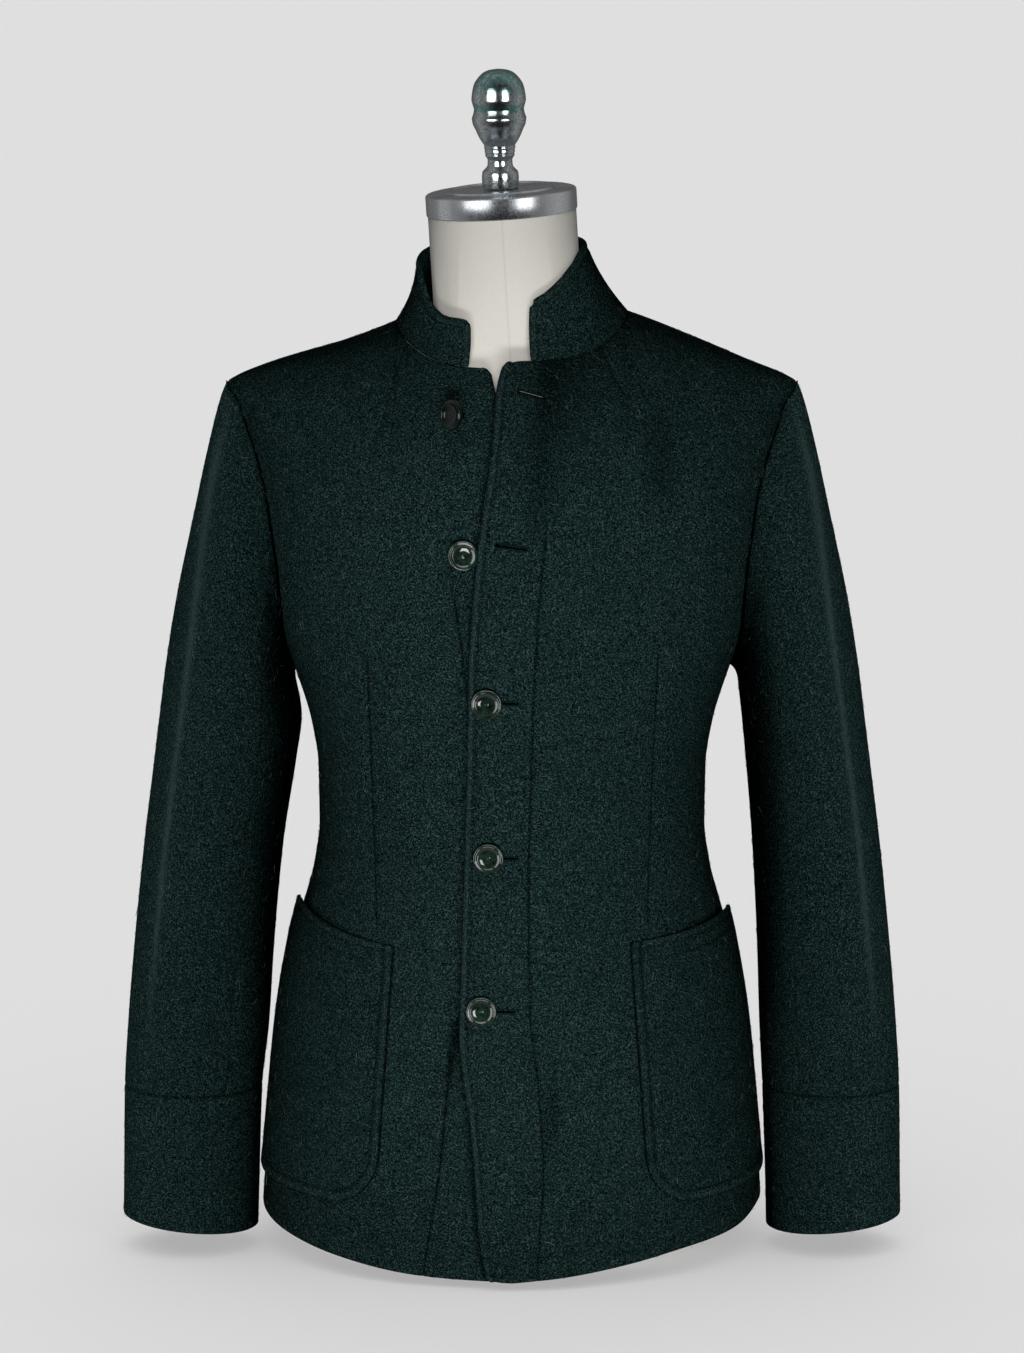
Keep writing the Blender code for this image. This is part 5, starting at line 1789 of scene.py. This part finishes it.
def build_buttonholes(thread, light_thread, shadow, tree):
    band = SHEETS["band_left"]
    for name, edge_end, inner_end in BUTTONHOLES:
        ends = [front_point(LEFT, girth_of(x, z), z) for x, z in (edge_end, inner_end)]
        path, out = laid_on(in_between(np.array(ends), 0.0005), band.outer, band.normals, 0.00030)
        along = unit(np.gradient(path, axis=0))
        up = np.cross(out, along)
        t = np.linspace(0, 1, len(path))[:, None]
        length = np.linalg.norm(path[-1] - path[0])
        keyhole = np.sqrt(np.maximum(KEYHOLE**2 - (t * length - KEYHOLE) ** 2, 0))
        half = np.maximum(SLIT_HALF * np.sqrt(np.clip(4 * t * (1 - t) * 4, 0, 1)), keyhole)
        half[0], half[-1] = 0.0001, 0.0001
        above, below = path + up * half, path - up * half
        count = len(path)
        points = np.concatenate((above, below))
        faces = [(i, count + i, count + i + 1, i + 1) for i in range(count - 1)]
        data = bpy.data.meshes.new(name)
        data.from_pydata(points.tolist(), [], faces)
        # The slit is a near-black sheet, the shade inside the buttonhole painted on
        data.materials.append(shadow)
        slit = in_scene(name, data)
        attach(slit, "root")
        over, under = above + up * 0.0009, below - up * 0.0009
        rim = np.concatenate((over, under[::-1], over[:1]))
        stitched(
            name + "_stitches", rim, band, thread, tree, pitch=0.00062, length=0.0018,
            width=0.00055, lift=0.00008, across=True,
        )
    ends = [front_point(LEFT, girth_of(x, z), z) for x, z in BASTING]
    stitched(
        "buttonhole_thread", ends, band, light_thread, tree, pitch=0.0040, length=0.0056,
        width=0.0004, lift=0.0005,
    )


FIBRE_DENSITY = 9500.0      # per square metre


def build_fibres(finish):
    tree = fibre_tree()
    for k, piece in enumerate(CLOTHS):
        grown(piece.name.replace("_cloth", "_fibres"), piece, tree, {
            "Density": FIBRE_DENSITY, "Length": 0.0050, "Width": 0.00019, "Lift": 0.0005,
            "Seed": 20 + k, "Material": finish,
        })


# ---------------------------------------------------------------- stage, camera and lights

CAMERA_DISTANCE = 3.6
CAMERA_ELEVATION = math.radians(12)
CAMERA_TARGET = (0.0, 0.0, 0.447)
CAMERA_LENS = 124.4
BACKDROP_TONE = 0.738
FLOOR_TONE = (0.80, 0.80, 0.80)


def look_at(thing, place, target):
    thing.location = place
    towards = Vector(target) - Vector(place)
    thing.rotation_euler = towards.to_track_quat("-Z", "Y").to_euler()


def build_stage():
    """A wide pale floor that lights nothing, so that the coat keeps its dark sides."""
    half = 40.0
    data = bpy.data.meshes.new("floor")
    corners = [(-half, -half, 0), (half, -half, 0), (half, half, 0), (-half, half, 0)]
    data.from_pydata(corners, [], [(0, 1, 2, 3)])
    paper = Finish("pale paper", FLOOR_TONE, 0.95, Specular_IOR_Level=0.0)
    data.materials.append(paper.material)
    floor = in_scene("floor", data)
    floor.visible_diffuse = False
    floor.visible_glossy = False
    return floor


# Place, target, size and power of each soft light, and the pieces that it lights
TORSO = ("front_", "band_", "back_", "collar", "pocket_", "buttonhole", "form_", "edge_", "mouth_")
COAT = TORSO + ("sleeve", "cuff")
NECK = (-0.01, 0.0, 0.84)
SEWN_CLOSE = ("button_2", "button_3", "button_4", "button_5")
LIGHTS = (
    ("front_softbox", (0.0, -1.9, 0.08), (0.0, 0.0, 0.38), (0.9, 0.5), 29.5, TORSO),
    ("top_softbox", (0.0, -1.3, 2.1), (0.0, 0.0, 0.60), (1.6, 0.6), 4.2, COAT),
    ("left_softbox", (1.25, -2.2, 0.14), (0.25, 0.0, 0.38), (0.4, 1.4), 46.0, ("_left",)),
    ("right_softbox", (-1.25, -2.2, 0.14), (-0.25, 0.0, 0.38), (0.4, 1.4), 46.0, ("_right",)),
    ("back_softbox", (0.0, 3.8, 0.80), (0.0, 0.0, 0.45), (1.6, 1.2), 85.0, COAT),
    ("cap_left", (-0.90, -1.2, 1.05), NECK, (1.0, 0.9), 9.0, ("neck_",)),
    ("cap_right", (0.86, -1.25, 1.05), NECK, (0.65, 0.9), 7.5, ("neck_",)),
    ("finial_left", (-0.80, -1.3, 1.05), NECK, (0.75, 0.6), 22.0, ("finial",)),
    ("finial_right", (0.72, -1.35, 1.05), NECK, (0.50, 0.6), 15.0, ("finial",)),
    ("neck_softbox", (0.0, -1.9, 1.1), NECK, (0.9, 0.5), 19.0, ("form_",)),
    ("rim_top", (0.0, -0.6, 1.7), (-0.02, 0.0, 0.40), (1.8, 0.7), 9.0, SEWN_CLOSE),
    ("rim_left", (-1.2, -0.55, 0.40), (-0.02, 0.0, 0.40), (0.6, 1.6), 8.0, SEWN_CLOSE),
    ("rim_right", (1.2, -0.55, 0.40), (-0.02, 0.0, 0.40), (0.6, 1.6), 8.0, SEWN_CLOSE),
    ("glare_1", (-1.0, -1.0, 0.90), (-0.04, 0.0, 0.664), (0.25, 0.60), 4.2, ("button_1",)),
    ("rim_1", (-0.4, -1.4, 0.75), (-0.04, 0.0, 0.664), (0.25, 0.60), 6.0, ("button_1",)),
    ("glare_2", (-0.24, -0.82, 0.18), (-0.0355, 0.0, 0.565), (0.32, 0.32), 2.6, ("button_2",)),
    ("glare_3", (0.20, -0.82, 0.14), (-0.019, 0.0, 0.453), (0.32, 0.20), 1.4, ("button_3",)),
    ("glare_4", (0.22, -0.87, 0.38), (-0.0176, 0.0, 0.334), (0.30, 0.30), 1.8, ("button_4",)),
    ("glare_5", (0.22, -0.87, 0.27), (-0.023, 0.0, 0.218), (0.30, 0.30), 2.2, ("button_5",)),
)
# Power of the light on the floor that casts no shadow, and of the one that does
FLOOR_LIGHTS = (("floor_wash", 2.74, False), ("floor_shade", 0.16, True))


def linked(lamp, members):
    """Keeps a lamp's light to the named things. Everything still casts its shadow."""
    group = bpy.data.collections.new(lamp.name + "_reach")
    for member in members:
        group.objects.link(member)
    lamp.light_linking.receiver_collection = group


def reached(name, reach):
    """Whether a light's reach takes in a piece: by its name's start, or the sleeve of a side."""
    if reach[0] in ("_left", "_right"):
        return name.startswith(("sleeve", "cuff")) and reach[0] in name
    return name.startswith(reach)


def build_lights(floor):
    meshes = [thing for thing in bpy.context.scene.objects if thing.type == "MESH"]
    pieces = [thing for thing in meshes if thing != floor]
    for name, place, target, size, power, reach in LIGHTS:
        data = bpy.data.lights.new(name, "AREA")
        data.shape = "RECTANGLE"
        data.size, data.size_y = size
        data.energy = power
        lamp = in_scene(name, data)
        look_at(lamp, place, target)
        lamp.visible_camera = False
        linked(lamp, [piece for piece in pieces if reached(piece.name, reach)])
    for name, power, shadow in FLOOR_LIGHTS:
        data = bpy.data.lights.new(name, "SUN")
        data.energy = power
        data.angle = math.radians(110)
        data.use_shadow = shadow
        lamp = in_scene(name, data)
        linked(lamp, [floor])
    build_world()


# Brightness of the room, from the camera's side at 0 round to the back at 1
ROOM = ((0.12, 0.015), (0.34, 0.32), (0.60, 0.52), (0.95, 0.13))


def build_world():
    """An even backdrop to the camera, and to shiny pieces a room that is dark in front."""
    world = bpy.data.worlds.new("studio")
    world.use_nodes = True
    tree = world.node_tree
    shade = tree.nodes["Background"]
    way = tree.nodes.new("ShaderNodeSeparateXYZ")
    tree.links.new(tree.nodes.new("ShaderNodeTexCoord").outputs["Generated"], way.inputs[0])
    share = tree.nodes.new("ShaderNodeMapRange")
    share.inputs["From Min"].default_value = -1.0
    tree.links.new(way.outputs["Y"], share.inputs["Value"])
    room = tree.nodes.new("ShaderNodeValToRGB")
    tree.links.new(share.outputs[0], room.inputs["Fac"])
    points = room.color_ramp.elements
    for _ in ROOM[2:]:
        points.new(0.5)
    for point, (place, tone) in zip(points, ROOM):
        point.position = place
        point.color = (tone, tone, tone, 1)
    seen = tree.nodes.new("ShaderNodeMix")
    seen.data_type = "FLOAT"
    tree.links.new(tree.nodes.new("ShaderNodeLightPath").outputs["Is Camera Ray"], seen.inputs[0])
    tree.links.new(room.outputs[0], seen.inputs[2])
    seen.inputs[3].default_value = BACKDROP_TONE
    tree.links.new(seen.outputs[0], shade.inputs["Color"])
    world.cycles_visibility.diffuse = False
    bpy.context.scene.world = world


def build_camera():
    data = bpy.data.cameras.new("camera")
    data.sensor_width = 36.0
    data.lens = CAMERA_LENS
    camera = in_scene("camera", data)
    back = CAMERA_DISTANCE * math.cos(CAMERA_ELEVATION)
    place = (0.0, -back, CAMERA_TARGET[2] + CAMERA_DISTANCE * math.sin(CAMERA_ELEVATION))
    look_at(camera, place, CAMERA_TARGET)
    bpy.context.scene.camera = camera


wool = wool_finish()
horn = horn_finish()
build_coat(wool)
build_stitches(
    plain_finish("sewing thread", (0.0075, 0.0150, 0.0146)),
    plain_finish("pale basting thread", (0.42, 0.45, 0.44)),
    # a near-black finish for the shade painted inside each buttonhole's slit
    plain_finish("inside of a slit", (0.0006, 0.0010, 0.0010)),
)
build_fibres(fibre_finish())
# button_1 takes a copy of the horn painted as in shade, with no pale clouds and less gloss
build_buttons(horn, horn_finish("polished dark green button in shade", 0.0, 0.26))
build_cap_and_finial(aluminium_finish(), lacquer_finish())
build_form(linen_finish())
build_lights(build_stage())
build_camera()
bpy.context.scene.view_settings.view_transform = "Standard"
